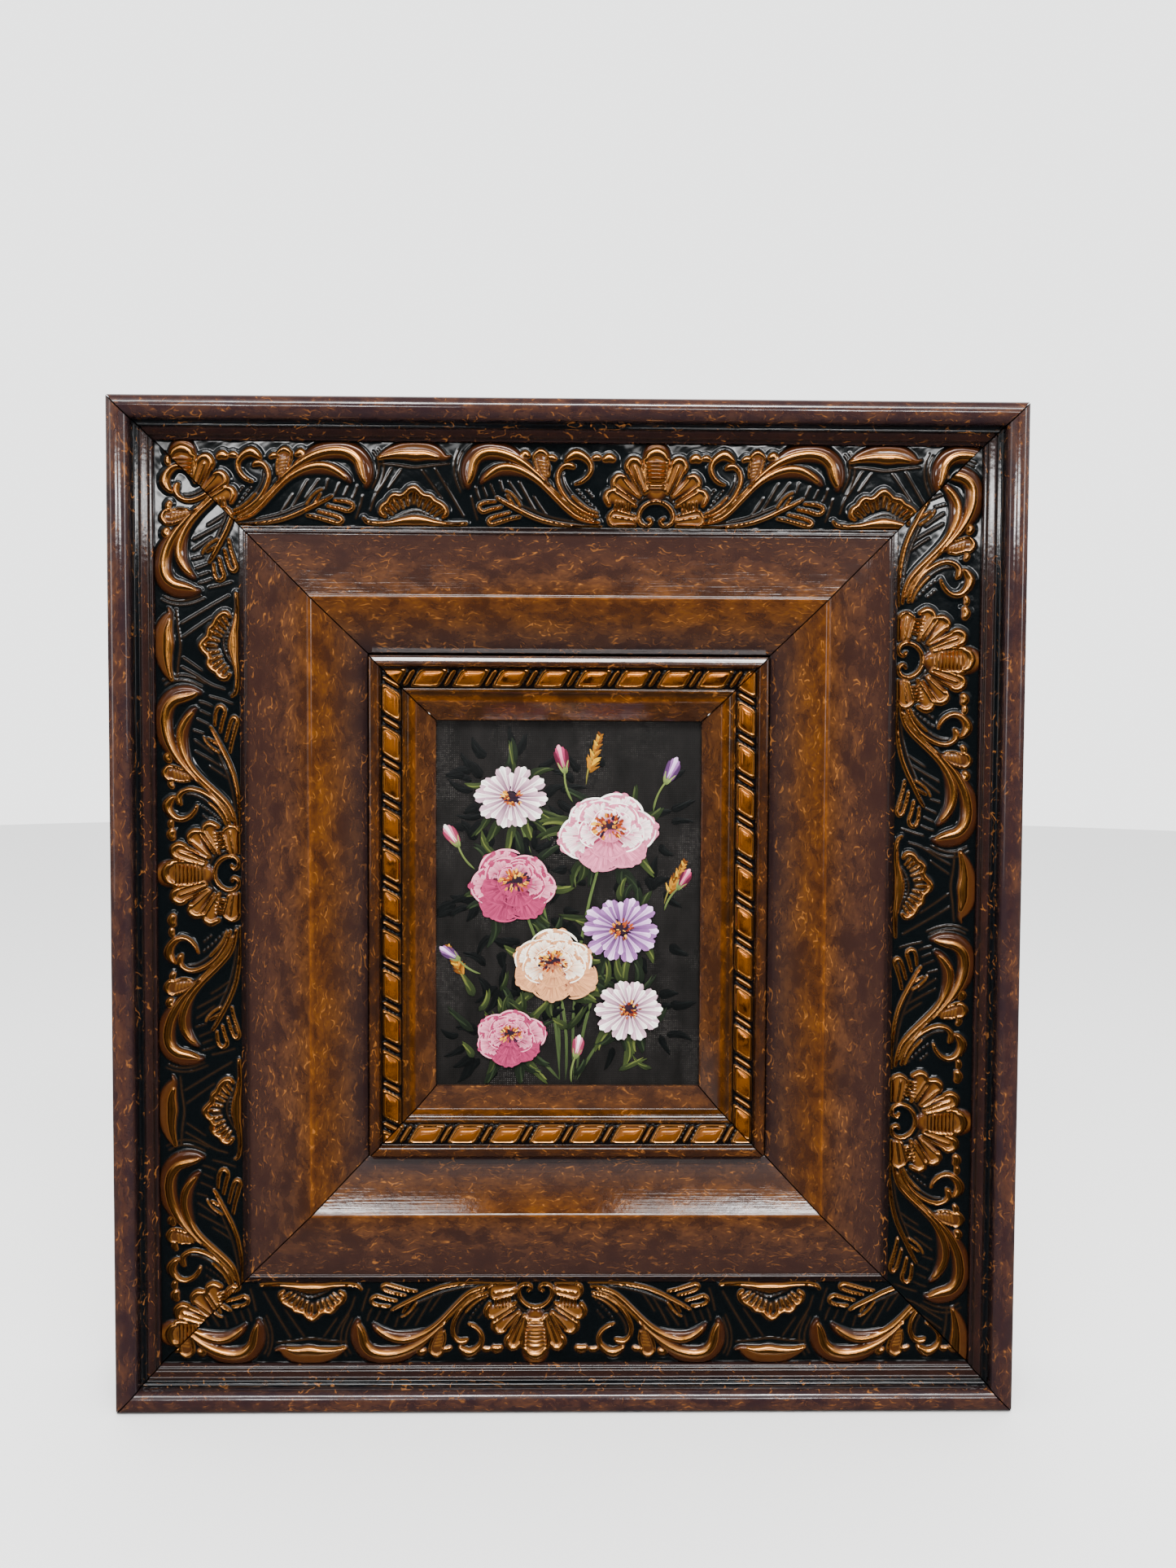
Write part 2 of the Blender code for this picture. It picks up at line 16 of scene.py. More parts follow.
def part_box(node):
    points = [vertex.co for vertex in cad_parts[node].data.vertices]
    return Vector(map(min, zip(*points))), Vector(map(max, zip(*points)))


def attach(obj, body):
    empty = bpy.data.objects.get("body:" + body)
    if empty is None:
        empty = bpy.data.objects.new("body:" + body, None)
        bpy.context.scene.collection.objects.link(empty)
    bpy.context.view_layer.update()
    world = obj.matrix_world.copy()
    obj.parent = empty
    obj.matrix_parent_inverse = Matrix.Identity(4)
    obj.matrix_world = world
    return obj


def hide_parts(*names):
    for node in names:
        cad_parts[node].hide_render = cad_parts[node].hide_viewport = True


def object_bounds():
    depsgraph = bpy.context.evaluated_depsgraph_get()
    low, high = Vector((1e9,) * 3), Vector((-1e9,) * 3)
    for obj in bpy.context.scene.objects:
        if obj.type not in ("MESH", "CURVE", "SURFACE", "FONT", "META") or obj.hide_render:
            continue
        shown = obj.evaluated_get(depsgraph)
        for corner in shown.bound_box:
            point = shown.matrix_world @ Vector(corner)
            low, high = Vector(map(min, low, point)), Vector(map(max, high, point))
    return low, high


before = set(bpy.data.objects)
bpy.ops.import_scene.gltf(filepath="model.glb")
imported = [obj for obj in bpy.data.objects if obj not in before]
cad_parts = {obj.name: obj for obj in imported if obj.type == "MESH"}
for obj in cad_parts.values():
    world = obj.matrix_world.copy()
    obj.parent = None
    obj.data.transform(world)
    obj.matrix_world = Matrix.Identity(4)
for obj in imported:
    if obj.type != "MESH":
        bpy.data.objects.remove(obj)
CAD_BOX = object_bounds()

bl_info = {
    "name": "Framed Painting Dresser",
    "version": (1, 0, 0),
    "blender": (4, 5, 0),
    "location": "View3D > Sidebar > Framed Painting",
    "description": "Builds the lacquered mouldings, carved bands and painted board of a framed painting",
    "category": "Object",
}

MM = 0.001
SIDES = ("top", "right", "bottom", "left")
FRAME_LOW, FRAME_HIGH = Vector(CAD_BOX[0]), Vector(CAD_BOX[1])
FRAME_WIDTH = FRAME_HIGH.x - FRAME_LOW.x
FRAME_HEIGHT = FRAME_HIGH.z - FRAME_LOW.z
BACK_PLANE = FRAME_HIGH.y
MITRE_GAP = 0.55            # between two rails at a corner
BARE_WOOD, SAWN_END = 1, 2  # a moulding's materials after its lacquer

# Sections: (inset, height) in millimetres, from the rim round the front, the lip and the back
RIM_WIDTH, RIM_SEAT, RIM_RISE = 10.1, 47.4, 4.6
BAND_START, BAND_END, BAND_HIGH, BAND_LOW = 17.3, 54.2, 38.2, 36.2
PANEL_START, PANEL_END, PANEL_TOP, PANEL_LIP, PANEL_CROWN = 87.1, 110.4, 39.55, 29.5, 0.25
BEAD = [
    (111.6, 33.8), (111.6, 34.35), (111.7, 34.7), (111.95, 35.0), (112.35, 35.25), (112.9, 35.47),
    (113.6, 35.73), (114.2, 35.95), (114.7, 36.1), (115.1, 36.17), (115.5, 36.13), (115.9, 35.95),
    (116.2, 35.65), (116.45, 35.2), (116.58, 34.6), (116.6, 33.8), (116.75, 33.3), (117.1, 33.25),
]
ROPE_START, ROPE_END, ROPE_HIGH, ROPE_LOW = 117.1, 126.2, 33.0, 31.0
RAIL_WIDTH = 140.6
BED_DROP = 1.4              # bed of a relief under its ground
BED_GAP = 0.05              # between a relief and the walls beside it
CORNER = 0.3                # softening that sanding and lacquer give an edge
STRAIGHT = math.radians(155)            # corners flatter than this stay as they are
LONG_FLAT, FLAT_HOLD = 1.2, 0.25        # a flat longer than the first is held this near its ends
BARE_HEIGHT = 19.0          # walls behind this height are bare wood
STEPS = [
    (10.3, 46.2), (10.7, 45.2), (11.5, 44.75), (12.3, 44.85), (12.75, 44.3), (12.85, 43.1), (13.2, 42.8),
    (15.5, 42.5), (15.95, 42.1), (16.05, 41.2), (16.35, 40.9), (16.95, 40.75), (17.3, 40.2),
]
BAND_BED = [(BAND_START, BAND_HIGH - BED_DROP), (BAND_END, BAND_LOW - BED_DROP)]
PANELS = [
    (54.2, 36.75), (54.5, 37.05), (56.2, 37.0), (56.3, 37.1), (56.55, 37.75), (57.0, 38.0), (57.45, 37.75),
    (57.7, 37.1), (57.9, 37.0), (66.0, 37.85), (76.0, 38.75), (84.6, 39.5), (85.1, 39.6), (85.5, 39.95),
    (86.1, 40.1), (86.7, 39.95), (87.1, 39.55),
]
OUTER_BACK = [
    (PANEL_END, 25.5), (103.5, 25.5), (103.5, 12.0), (58.0, 12.0), (58.0, 0.0), (1.5, 0.0), (0.0, 1.5),
]
ROPE_BED = [(ROPE_START, ROPE_HIGH - BED_DROP), (ROPE_END, ROPE_LOW - BED_DROP)]
COVE = [
    (126.2, 31.2), (126.5, 31.5), (127.3, 31.65), (128.0, 31.45), (128.3, 31.0), (129.2, 30.35),
    (130.4, 30.0), (131.6, 29.95), (132.4, 30.05),
]
SIGHT = [(140.3, 21.3), (140.6, 20.9), (140.6, 18.8)]
INNER_BACK = [(136.0, 18.8), (136.0, 12.0), (103.8, 12.0), (103.8, 25.2), (111.6, 25.2)]

# Carving: one repeat of the band runs from shell to shell, in millimetres
REPEAT = 211.0
FAN_MIDDLE = 102.5
LEFT_SPREAD, LEFT_REACH = 6.5, 95.0     # the left spray swings wider than the right one
SHELL_PLACE = {"top": 30.1, "right": 112.8, "bottom": 5.8, "left": 31.4}
VEIN_HEIGHT = {"top": 0.2, "right": 0.55, "bottom": 0.5, "left": 0.5}     # share of the drawn height
CELL = 0.25                             # grid of the sheet that the carving is drawn on
STEP_RISE = 0.3                         # low step of the ground that carries the carved forms

# Rope: a lozenge and a slim rib make one pitch
ROPE_PLACE = {"top": 1.6, "right": -2.9, "bottom": -0.1, "left": 9.8}
# Painted shade: the bottom rail's rope gets half the metal and brown, so that it reads darker
ROPE_RUB_AND_SHADE = {"top": 1.0, "right": 1.0, "bottom": 0.5, "left": 1.0}     # how well the metal covers, and painted shade
ROPE_PITCH, LOZENGE_LENGTH, LOZENGE_HEIGHT, ROPE_SLANT, ROPE_REACH = 18.6, 13.2, 2.7, 5.0, 8.3
LOZENGE_EDGE = 1.5                      # height of the frame round a lozenge
RIB_HALF, RIB_HEIGHT = 1.15, 1.7        # slim rib between two lozenges
BEADS_AWAY, BEADS_HALF, BEADS_HEIGHT = 2.05, 0.45, 0.95         # row of beads on each side of a rib

# Painting, in millimetres: its height over the back, and half of what the sight edge shows
BOARD_FACE = 18.5
FIELD = (61.6, 85.6)
FIRST_LIFT, STROKE_STEP = 0.04, 0.0006  # lift of the first stroke, and of each over the one before

# Kinds of carved stroke: fullness of its round, copper on its crest, brown on its body, and the low
# step of ground beside it
KINDS = {
    "leaf": (2.0, 1.0, 1.0, 1.4),
    "ridge": (2.0, 1.0, 0.8, 0.0),
    "petal": (2.4, 0.2, 1.0, 0.0),
    "husk": (2.6, 0.05, 0.8, 0.0),
    "flank": (2.2, 0.0, 0.7, 0.9),
    "worn": (2.0, 0.5, 0.6, 0.0),
    "dark": (2.0, 0.03, 0.0, 0.0),
}

# Carved strokes: kind, crest over the ground, then (along, inset, width) of their middle line
SHELL_MIDDLE = [
    ("petal", 1.6, [(0, 20.4, 8.6), (0, 23, 12.4), (0, 27, 11.2), (0, 33, 9.6), (0, 38.2, 8.6)]),
    ("husk", 1.65, [(0, 26.2, 9.2), (0, 31, 8.8), (0, 37.6, 7.6)]),
    ("leaf", 3.0, [(-4.4, 24.4, 2.4), (-3.2, 22.4, 3.8), (0, 21.2, 4.8), (3.2, 22.4, 3.8),
                   (4.4, 24.4, 2.4)]),
]
SHELL_RIBS = (25.9, 27.6, 29.3, 31.0, 32.7, 34.3, 35.9, 37.5)
SHELL_HALF = [
    ("ridge", 2.4, [(5.4, 24.2, 2.0), (5.3, 28, 1.3), (4.9, 33, 1.1), (4.3, 38.4, 0.9)]),
    ("petal", 1.5, [(4.4, 38.8, 1.8), (7.4, 31.4, 5.2), (9.8, 26.6, 7.4)]),
    ("leaf", 2.8, [(7.2, 26.8, 2.2), (8.6, 25.0, 3.4), (11.2, 24.8, 3.6), (13.0, 27.2, 3.0),
                   (12.6, 29.6, 1.8)]),
    ("ridge", 2.5, [(7.0, 27.4, 1.5), (5.4, 32.6, 1.2), (3.6, 38.4, 0.8)]),
    ("ridge", 2.5, [(9.8, 27.6, 1.6), (7.8, 33, 1.3), (5.2, 39.2, 0.8)]),
    ("ridge", 2.4, [(12.2, 29.2, 1.6), (9.8, 34.2, 1.3), (6.8, 39.8, 0.8)]),
    ("petal", 1.5, [(7.6, 40.6, 1.8), (12.4, 36.2, 5.0), (16.6, 33.6, 6.4)]),
    ("leaf", 2.7, [(14.2, 32.2, 2.0), (16.8, 31.8, 3.0), (18.8, 33.8, 3.2), (19.0, 36.4, 2.2)]),
    ("ridge", 2.4, [(15.0, 32.8, 1.5), (12.0, 36.4, 1.2), (8.2, 40.4, 0.8)]),
    ("ridge", 2.4, [(18.6, 36.0, 1.7), (14.4, 39.0, 1.4), (9.2, 42.4, 0.8)]),
    ("petal", 1.5, [(9.6, 44.4, 2.0), (15, 41.8, 5.2), (20.0, 40.4, 6.2)]),
    ("leaf", 2.6, [(18.4, 38.0, 2.0), (21.2, 38.8, 3.0), (22.4, 41.2, 3.0), (21.2, 44.2, 2.0)]),
    ("ridge", 2.7, [(18.6, 38.8, 1.5), (14.6, 41.2, 1.5), (9.0, 44.8, 0.9)]),
    ("petal", 1.4, [(9.8, 50.8, 4.0), (15, 50.4, 6.4), (19.2, 50.2, 6.0)]),
    ("ridge", 2.3, [(9.8, 49.0, 1.2), (14.4, 47.8, 1.5), (18.6, 46.8, 1.4), (20.6, 48.6, 1.5),
                    (21.2, 50.6, 1.5), (20.4, 52.6, 1.4), (18.4, 53.6, 1.1)]),
    ("ridge", 2.3, [(9.4, 51.2, 1.1), (14.6, 50.4, 1.5), (19.0, 49.8, 1.2)]),
    ("ridge", 2.2, [(9.2, 53.3, 1.0), (14, 53.2, 1.3), (18.4, 53.2, 1.0)]),
    ("ridge", 2.4, [(-0.2, 42.6, 1.6), (3.4, 43.4, 1.6), (6.4, 45.8, 1.7), (7.8, 49.2, 1.7),
                    (6.9, 52.2, 1.7), (4.4, 53.4, 1.6), (2.5, 52.6, 1.5), (2.1, 51.0, 1.4),
                    (3.4, 50.2, 1.2)]),
    ("dark", 0.7, [(-0.2, 39.9, 1.0), (5.2, 41.0, 1.0), (8.6, 44.0, 1.0), (10.0, 48.0, 0.8)]),
]
SPRAY = [
    ("leaf", 1.9, [(16.2, 24.2, 3.2), (17.6, 23.6, 4.2), (19.0, 24.2, 3.2)]),
    ("leaf", 1.5, [(21.4, 23.6, 2.4), (22.4, 23.4, 2.8), (23.4, 23.8, 2.4)]),
    ("leaf", 1.5, [(39.2, 24.2, 2.2), (40.4, 23.6, 2.8), (41.2, 23.8, 2.2)]),
    ("leaf", 2.0, [(51.0, 23.0, 2.8), (52.4, 22.4, 3.9), (53.4, 23.4, 2.8)]),
    ("leaf", 2.6, [(30.6, 35.2, 0.8), (28.2, 34.2, 1.5), (25.8, 32.0, 1.8), (24.5, 29.0, 2.1),
                   (25.1, 25.8, 2.7), (27.6, 23.2, 3.7), (30.6, 22.2, 4.5), (33.2, 23.6, 3.2),
                   (34.6, 25.0, 1.2)]),
    ("ridge", 2.3, [(31.4, 27.9, 1.4), (32.6, 27.2, 2.8), (35.0, 27.2, 2.5), (37.0, 29.0, 1.9),
                    (38.0, 32.0, 1.8), (37.5, 35.4, 1.8), (35.8, 39.2, 1.8), (33.2, 42.8, 1.8),
                    (30.0, 45.6, 1.7), (26.4, 47.9, 1.6), (22, 49.4, 1.1)]),
    ("dark", 1.3, [(35.8, 30.4, 0.9), (35.6, 33.6, 1.1), (34.2, 37.0, 1.1), (31.8, 40.6, 1.1)]),
    ("worn", 1.7, [(31.8, 40.6, 1.1), (28.6, 43.9, 1.3), (25.2, 46.4, 1.1), (22, 47.8, 0.8)]),
    ("leaf", 2.5, [(21.4, 52.2, 0.9), (26, 51.3, 1.4), (30.4, 49.4, 1.7), (34.4, 46.0, 1.9),
                   (38.4, 41.8, 2.0), (42.6, 37.4, 2.1), (46.6, 33.8, 2.4), (50.6, 31.2, 2.9),
                   (55, 29.2, 3.5), (60, 28.1, 3.8), (64.4, 28.5, 3.8), (68.0, 30.1, 3.3),
                   (70.6, 31.9, 2.4), (72.2, 33.5, 1.1)]),
    ("flank", 1.9, [(50.6, 31.2, 3.4), (55, 29.6, 4.8), (60, 28.9, 5.4), (65, 29.3, 5.2), (69.4, 31.0, 4.4),
                    (72.6, 33.0, 3.2), (74.2, 34.8, 1.6)]),
    ("worn", 1.9, [(24, 50.6, 0.9), (29.4, 47.9, 1.1), (34, 43.8, 1.2), (38.4, 39.4, 1.3),
                   (42.6, 35.0, 1.5)]),
    ("leaf", 3.0, [(41.6, 36.0, 1.2), (46.8, 31.2, 2.0), (51, 27.8, 2.8), (55.6, 25.0, 3.6),
                   (60.6, 22.9, 4.1), (65.8, 21.8, 4.3), (70.8, 21.8, 4.4), (75.0, 23.2, 4.6),
                   (78.0, 26.2, 4.6), (79.2, 30.0, 4.1), (80.0, 33.0, 2.8), (81.0, 35.4, 1.2)]),
    ("flank", 2.3, [(51, 27.6, 3.8), (55.6, 24.4, 5.6), (60.6, 22.0, 7.2), (66, 21.0, 7.6),
                    (71.6, 21.0, 7.8), (76.6, 22.6, 7.6), (80.0, 25.9, 7.2), (81.6, 29.8, 6.2),
                    (82.0, 33.6, 4.4), (81.4, 36.6, 2.2)]),
    ("husk", 1.5, [(45.3, 21.8, 4.6), (45.0, 24.6, 6.4), (44.3, 28.4, 4.8), (43.2, 33.6, 2.2)]),
    ("ridge", 2.3, [(42.6, 24.4, 1.1), (42.6, 22.6, 1.8), (45.2, 21.1, 2.7), (47.8, 22.5, 1.8),
                    (48.2, 24.6, 1.1), (47.0, 28.4, 1.0), (45.2, 32.4, 0.8)]),
    ("ridge", 1.9, [(42.6, 24.4, 1.0), (41.6, 28.0, 0.9), (41.9, 31.8, 0.7)]),
    ("ridge", 2.3, [(20.6, 53.9, 1.0), (28, 54.0, 1.3), (36, 53.1, 1.6), (43.4, 51.6, 1.7), (50, 49.2, 1.8),
                    (56, 46.3, 1.8), (60.6, 44.1, 1.5), (64, 42.4, 1.2), (66, 41.2, 0.8)]),
    ("dark", 1.3, [(28, 52.1, 0.8), (36, 50.9, 0.9), (43.6, 48.9, 1.0), (50, 46.3, 1.0),
                   (54.8, 44.4, 0.9)]),
    ("worn", 1.7, [(54.6, 44.8, 1.0), (56.8, 41.6, 0.9), (59.4, 39.2, 0.8), (61.6, 38.2, 0.6)]),
    ("ridge", 1.9, [(57.6, 45.2, 1.0), (59.6, 42.2, 1.0), (60.8, 40.2, 0.7)]),
    ("ridge", 1.9, [(64, 45.5, 1.1), (69.4, 46.7, 1.4), (73, 47.7, 1.4), (75.2, 46.4, 1.5),
                    (74.8, 44.5, 1.4), (71.6, 43.4, 1.2), (67, 43.1, 0.9)]),
    ("ridge", 1.9, [(54.8, 49.8, 1.0), (59.6, 50.7, 1.3), (64.6, 52.1, 1.5), (68.6, 53.1, 1.5),
                    (70.4, 52.1, 1.5), (69.5, 50.7, 1.4), (66, 49.4, 1.2), (59.8, 47.9, 0.9)]),
    ("dark", 1.0, [(64.6, 50.6, 0.9), (67.4, 51.6, 0.9)]),
    ("dark", 0.8, [(84.6, 21.4, 0.9), (86.4, 24.6, 1.1), (86.9, 28.8, 1.1), (86.0, 33.0, 1.1),
                   (84.0, 37.4, 0.9)]),
    ("dark", 0.6, [(86.6, 20.4, 0.8), (88.6, 24.4, 1.0), (89.2, 29.0, 1.0), (88.2, 33.8, 1.0),
                   (85.6, 39.0, 0.8)]),
    ("dark", 0.6, [(60, 34.2, 1.0), (57.4, 37.8, 1.1), (54, 42.2, 0.8)]),
    ("dark", 0.6, [(55, 34.4, 1.0), (51, 41.4, 1.1), (47, 48.0, 0.8)]),
    ("dark", 0.5, [(48.4, 40.6, 0.9), (45.4, 45.2, 1.0), (42, 49.8, 0.7)]),
    ("dark", 0.6, [(64.4, 33.8, 1.0), (63, 38.2, 0.8)]),
    ("dark", 0.5, [(69.4, 35.4, 1.0), (67, 40.4, 0.8)]),
    ("dark", 0.6, [(77.2, 36.6, 1.0), (76.4, 39.4, 1.0), (75, 42.2, 0.7)]),
    ("dark", 0.6, [(73.2, 36.8, 1.0), (71.2, 41.0, 0.7)]),
    ("dark", 0.5, [(79.6, 41.0, 1.0), (78.2, 46.0, 1.0), (76.4, 51.0, 0.8)]),
]
SPRAY_DOTS = [(23.2, 46.0), (24.6, 44.4), (26.0, 42.8), (27.4, 41.1), (28.7, 39.4), (29.9, 37.7),
              (24.0, 40.6), (25.0, 39.2), (26.0, 37.9)]
POD_BARS = ((25.6, 1.6), (27.1, 1.5), (28.6, 1.3), (30.1, 1.1), (31.6, 0.8))
SHELL_BARS = (11.6, 13.2, 14.8, 16.4, 18.0)
FAN = [
    ("husk", 1.8, [(-16.0, 24.4, 1.0), (-11, 22.4, 4.8), (-5, 21.2, 7.6), (1, 21.0, 8.6), (7, 21.4, 7.8),
                   (11, 22.5, 5.4), (14, 24.0, 2.4), (16.6, 23.4, 0.8)]),
    ("leaf", 2.5, [(-15.4, 24.7, 1.0), (-10, 23.4, 2.6), (-4, 22.9, 4.2), (1, 23.2, 5.0), (6, 23.1, 4.0),
                   (10.8, 24.2, 1.4)]),
    ("dark", 0.8, [(-15.4, 26.8, 0.9), (-8, 27.3, 1.2), (0, 28.3, 1.3), (8, 27.4, 1.2), (16, 26.6, 0.9)]),
    ("dark", 1.0, [(-12.6, 48.4, 4.0), (-9.8, 45.6, 5.0), (-5.6, 44.2, 5.4), (0, 42.6, 6.2),
                   (5.6, 44.4, 5.4), (9.4, 46.2, 5.0), (12.4, 48.4, 4.0)]),
    ("leaf", 2.6, [(-12.8, 50.0, 1.2), (-14.6, 48.4, 2.2), (-14.0, 45.8, 2.6), (-11.6, 44.0, 2.4),
                   (-10.6, 42.2, 2.2), (-8.6, 40.9, 2.6), (-5.8, 41.2, 2.4), (-3.6, 39.9, 2.3),
                   (-1.8, 38.2, 2.5), (0.2, 37.7, 2.9), (2.0, 38.8, 2.5), (4.2, 40.8, 2.4),
                   (7.4, 41.5, 2.5), (9.2, 43.3, 2.4), (11.8, 44.6, 2.5), (13.9, 46.6, 2.5),
                   (14.4, 48.8, 2.2), (13.0, 50.2, 1.2)]),
    ("leaf", 2.4, [(-22.6, 50.8, 0.9), (-20.8, 52.5, 1.4), (-16, 53.2, 1.8), (-10, 52.9, 2.4),
                   (-5, 52.0, 3.6), (0, 51.6, 4.8), (5, 51.9, 3.8), (10, 52.8, 2.5), (16, 53.3, 1.6),
                   (23.4, 53.0, 1.0)]),
    ("dark", 2.2, [(-8.4, 50.8, 0.8), (-3.6, 48.3, 1.0), (1.0, 47.3, 1.1), (4.8, 48.3, 1.0),
                   (8.8, 50.4, 0.8), (12.6, 51.6, 0.7)]),
    ("dark", 0.6, [(3.6, 29.4, 1.0), (8.2, 35.8, 1.0), (12.4, 41.8, 1.0)]),
    ("dark", 0.7, [(9.6, 28.8, 1.0), (15.8, 38.8, 1.1), (22.2, 49.6, 1.0)]),
    ("dark", 0.7, [(-9.8, 28.8, 1.0), (-13.4, 35.0, 1.1), (-17.6, 41.6, 1.1), (-19.6, 47.4, 1.0)]),
    ("dark", 0.6, [(-5.6, 29.4, 1.0), (-8.4, 33.4, 1.0), (-11.4, 37.6, 0.8)]),
]
FAN_SPIKES = [
    (-12.4, 46.8), (-10.6, 45.2), (-8.6, 43.6), (-6.0, 42.9), (-3.2, 41.6), (0.2, 40.4), (3.0, 41.8),
    (5.8, 43.2), (8.0, 44.4), (10.2, 46.0), (12.2, 47.6),
]
FAN_TEETH = (-2.6, -1.0, 0.6, 2.2, 3.8, 5.4)
FAN_EYE = (-0.6, 56.0)                  # the fan's spikes point to here

# Lacquer across a rail: inset in millimetres, colour between the clouds, colour of the clouds. The
# near-black stops in the grooves and in the gap between the two mouldings are painted shade; the greyer
# stops just before the lip are a painted reflection
LACQUER_SHADE_AND_SHEEN_TONES = [
    (0, "#251818", "#3c261f"), (4, "#211516", "#42281b"), (9.6, "#1e1417", "#32201a"),
    (10.4, "#040506", "#07080a"), (12.6, "#040506", "#07080a"), (13.2, "#1c1110", "#281712"),
    (15.8, "#170e0c", "#24140f"), (16.2, "#050505", "#070606"), (16.9, "#180f0e", "#201210"),
    (54, "#090605", "#0d0807"), (57, "#120b0b", "#1a0f0d"), (58.5, "#231512", "#2b1b15"),
    (68, "#241613", "#392318"), (78, "#231511", "#472b19"), (84.8, "#26140c", "#4f2e14"),
    (86.2, "#3a1e0a", "#683a12"), (87.8, "#2a1408", "#4f2b0c"), (95, "#27140b", "#4b2a0e"),
    (103, "#251611", "#3e2616"), (110, "#1b1213", "#281a16"), (111.3, "#050404", "#080605"),
    (112.4, "#1c0e08", "#3c1f08"), (116.2, "#1c0e08", "#3c1f08"), (117.2, "#060404", "#0a0604"),
    (126.2, "#120a06", "#211206"), (127.4, "#221104", "#432306"), (128.8, "#170b04", "#361c05"),
    (131.2, "#2a1403", "#542c04"), (133, "#26150d", "#482912"), (140.6, "#25150f", "#462a17"),
]

# Petal colours: light, middle and deep
BLOOM_TINTS = {
    "blush": ("#fbf1ec", "#c9708a", "#78263f"),
    "rose": ("#e08ea2", "#952c52", "#4a0f24"),
    "cream": ("#fdf3e0", "#c98a5c", "#743c2c"),
    "lilac": ("#dcb8e2", "#8c5a94", "#402448"),
    "white": ("#fbf6ee", "#c9a3b0", "#643c54"),
}


def linear(code):
    """An sRGB hex colour as linear light, with full alpha."""
    shares = [int(code[place:place + 2], 16) / 255 for place in (1, 3, 5)]
    return tuple(c / 12.92 if c <= 0.04045 else ((c + 0.055) / 1.055) ** 2.4 for c in shares) + (1.0,)


# Bouquet, in millimetres from the picture's middle: open flowers, then buds with their lean
BLOOMS = [
    ((-27, 50), 17, "white"), ((19, 33), 24, "blush"), ((-25, 8), 21.5, "rose"), ((25, -12), 18, "lilac"),
    ((-7, -30), 21, "cream"), ((29, -50), 16.5, "white"), ((-27, -64), 16.5, "rose"),
]
BUDS = [
    ((-2, 63), 104, 12, "rose"), ((46, 58), 66, 12, "lilac"), ((-52, 28), 124, 11, "blush"),
    ((52, 8), 58, 10, "rose"), ((-52, -26), 146, 10, "lilac"), ((4, -72), 80, 10, "blush"),
]
LEAF_TINTS = [
    ("#10180a", "#1c2610", "#3a4422"), ("#0c120a", "#151d11", "#26321c"), ("#182010", "#303a18", "#5a622a"),
    ("#030505", "#050707", "#090d0c"),
]


def colour_setting(name, description, code):
    return FloatVectorProperty(
        name=name, description=description, subtype="COLOR", size=4, min=0, max=1, default=linear(code))


def length_setting(name, description, value, low, high):
    """A length, given in millimetres."""
    return FloatProperty(
        name=name, description=description, default=value * MM, min=low * MM, max=high * MM, unit="LENGTH",
        precision=5)


class FramedPaintingFinish(bpy.types.PropertyGroup):
    """Colours and gloss of the frame."""
    lacquer_amber: colour_setting("Lacquer Amber", "Short flecks sponged into the brown lacquer", "#8e5826")
    carving_black: colour_setting("Carving Black", "Gloss ground of the carved band", "#050708")
    copper: colour_setting("Copper", "Metallic rub on the crests of the carving", "#ba7a34")
    rope_gold: colour_setting("Rope Gold", "Deep gold of the lozenges", "#935416")
    gloss: FloatProperty(
        name="Coat Roughness", description="Roughness of the clear coat over the lacquer",
        default=0.07, min=0, max=1)


class FramedPaintingRelief(bpy.types.PropertyGroup):
    """Fineness and height of the carved bands."""
    band_grid: length_setting("Band Grid", "Spacing of the carved band's mesh", 0.43, 0.3, 3)
    rope_grid: length_setting("Rope Grid", "Spacing of the rope band's mesh", 0.34, 0.25, 3)
    carving_height: FloatProperty(
        name="Carving Height", description="Height of the carving as a share of its drawn height",
        default=1.0, min=0.2, max=1.5)


class FramedPaintingPicture(bpy.types.PropertyGroup):
    """The painted field."""
    ground: colour_setting("Ground", "Dark colour of the painting's background", "#171514")
    seed: IntProperty(name="Seed", description="Seed of the brush strokes", default=11, min=0)
    paint_body: length_setting("Paint Body", "Thickness of one stroke of paint", 0.11, 0.02, 1)


class FramedPaintingStage(bpy.types.PropertyGroup):
    """Camera, lights and floor."""
    camera_place: FloatVectorProperty(
        name="Camera Place", description="Where the camera stands", subtype="TRANSLATION", size=3,
        default=(0.00126, -0.54387, 0.30405))
    camera_turn: FloatVectorProperty(
        name="Camera Turn", description="How the camera is turned", subtype="EULER", size=3,
        default=(math.radians(87.796), math.radians(-0.284), math.radians(-0.788)))
    lens: FloatProperty(name="Lens", description="Focal length on a 36 mm long side", default=27.05, min=10)
    key_glow: FloatProperty(
        name="Key Glow", description="Brightness of the overhead softbox", default=42.0, min=0)
    ceiling: FloatProperty(
        name="Ceiling", description="Strength of the light from straight above", default=4.5, min=0)
    overhead: FloatProperty(
        name="Overhead", description="Brightness of the room's upper part", default=1.9, min=0)
    paper: FloatProperty(
        name="Paper", description="Brightness of the backdrop where it is seen", default=3.65, min=0)


# Meshes

def finished(name, bm):
    """The shape that a bmesh holds, as a mesh."""
    mesh = bpy.data.meshes.new(name)
    bm.to_mesh(mesh)
    bm.free()
    return mesh


def shaded(mesh, sharp_angle):
    """Smooth shading, with edges kept sharp from an angle in degrees."""
    mesh.shade_smooth()
    mesh.set_sharp_from_angle(angle=math.radians(sharp_angle))


def places_of(mesh):
    """The mesh's points, one row each."""
    points = np.empty(len(mesh.vertices) * 3, np.float32)
    mesh.vertices.foreach_get("co", points)
    return points.reshape(-1, 3).astype(float)


def keep_values(mesh, name, kind, field, values):
    """Store a value for each point of the mesh, for its finish to read."""
    attribute = mesh.attributes.new(name, kind, "POINT")
    attribute.data.foreach_set(field, values.astype(np.float32).ravel())


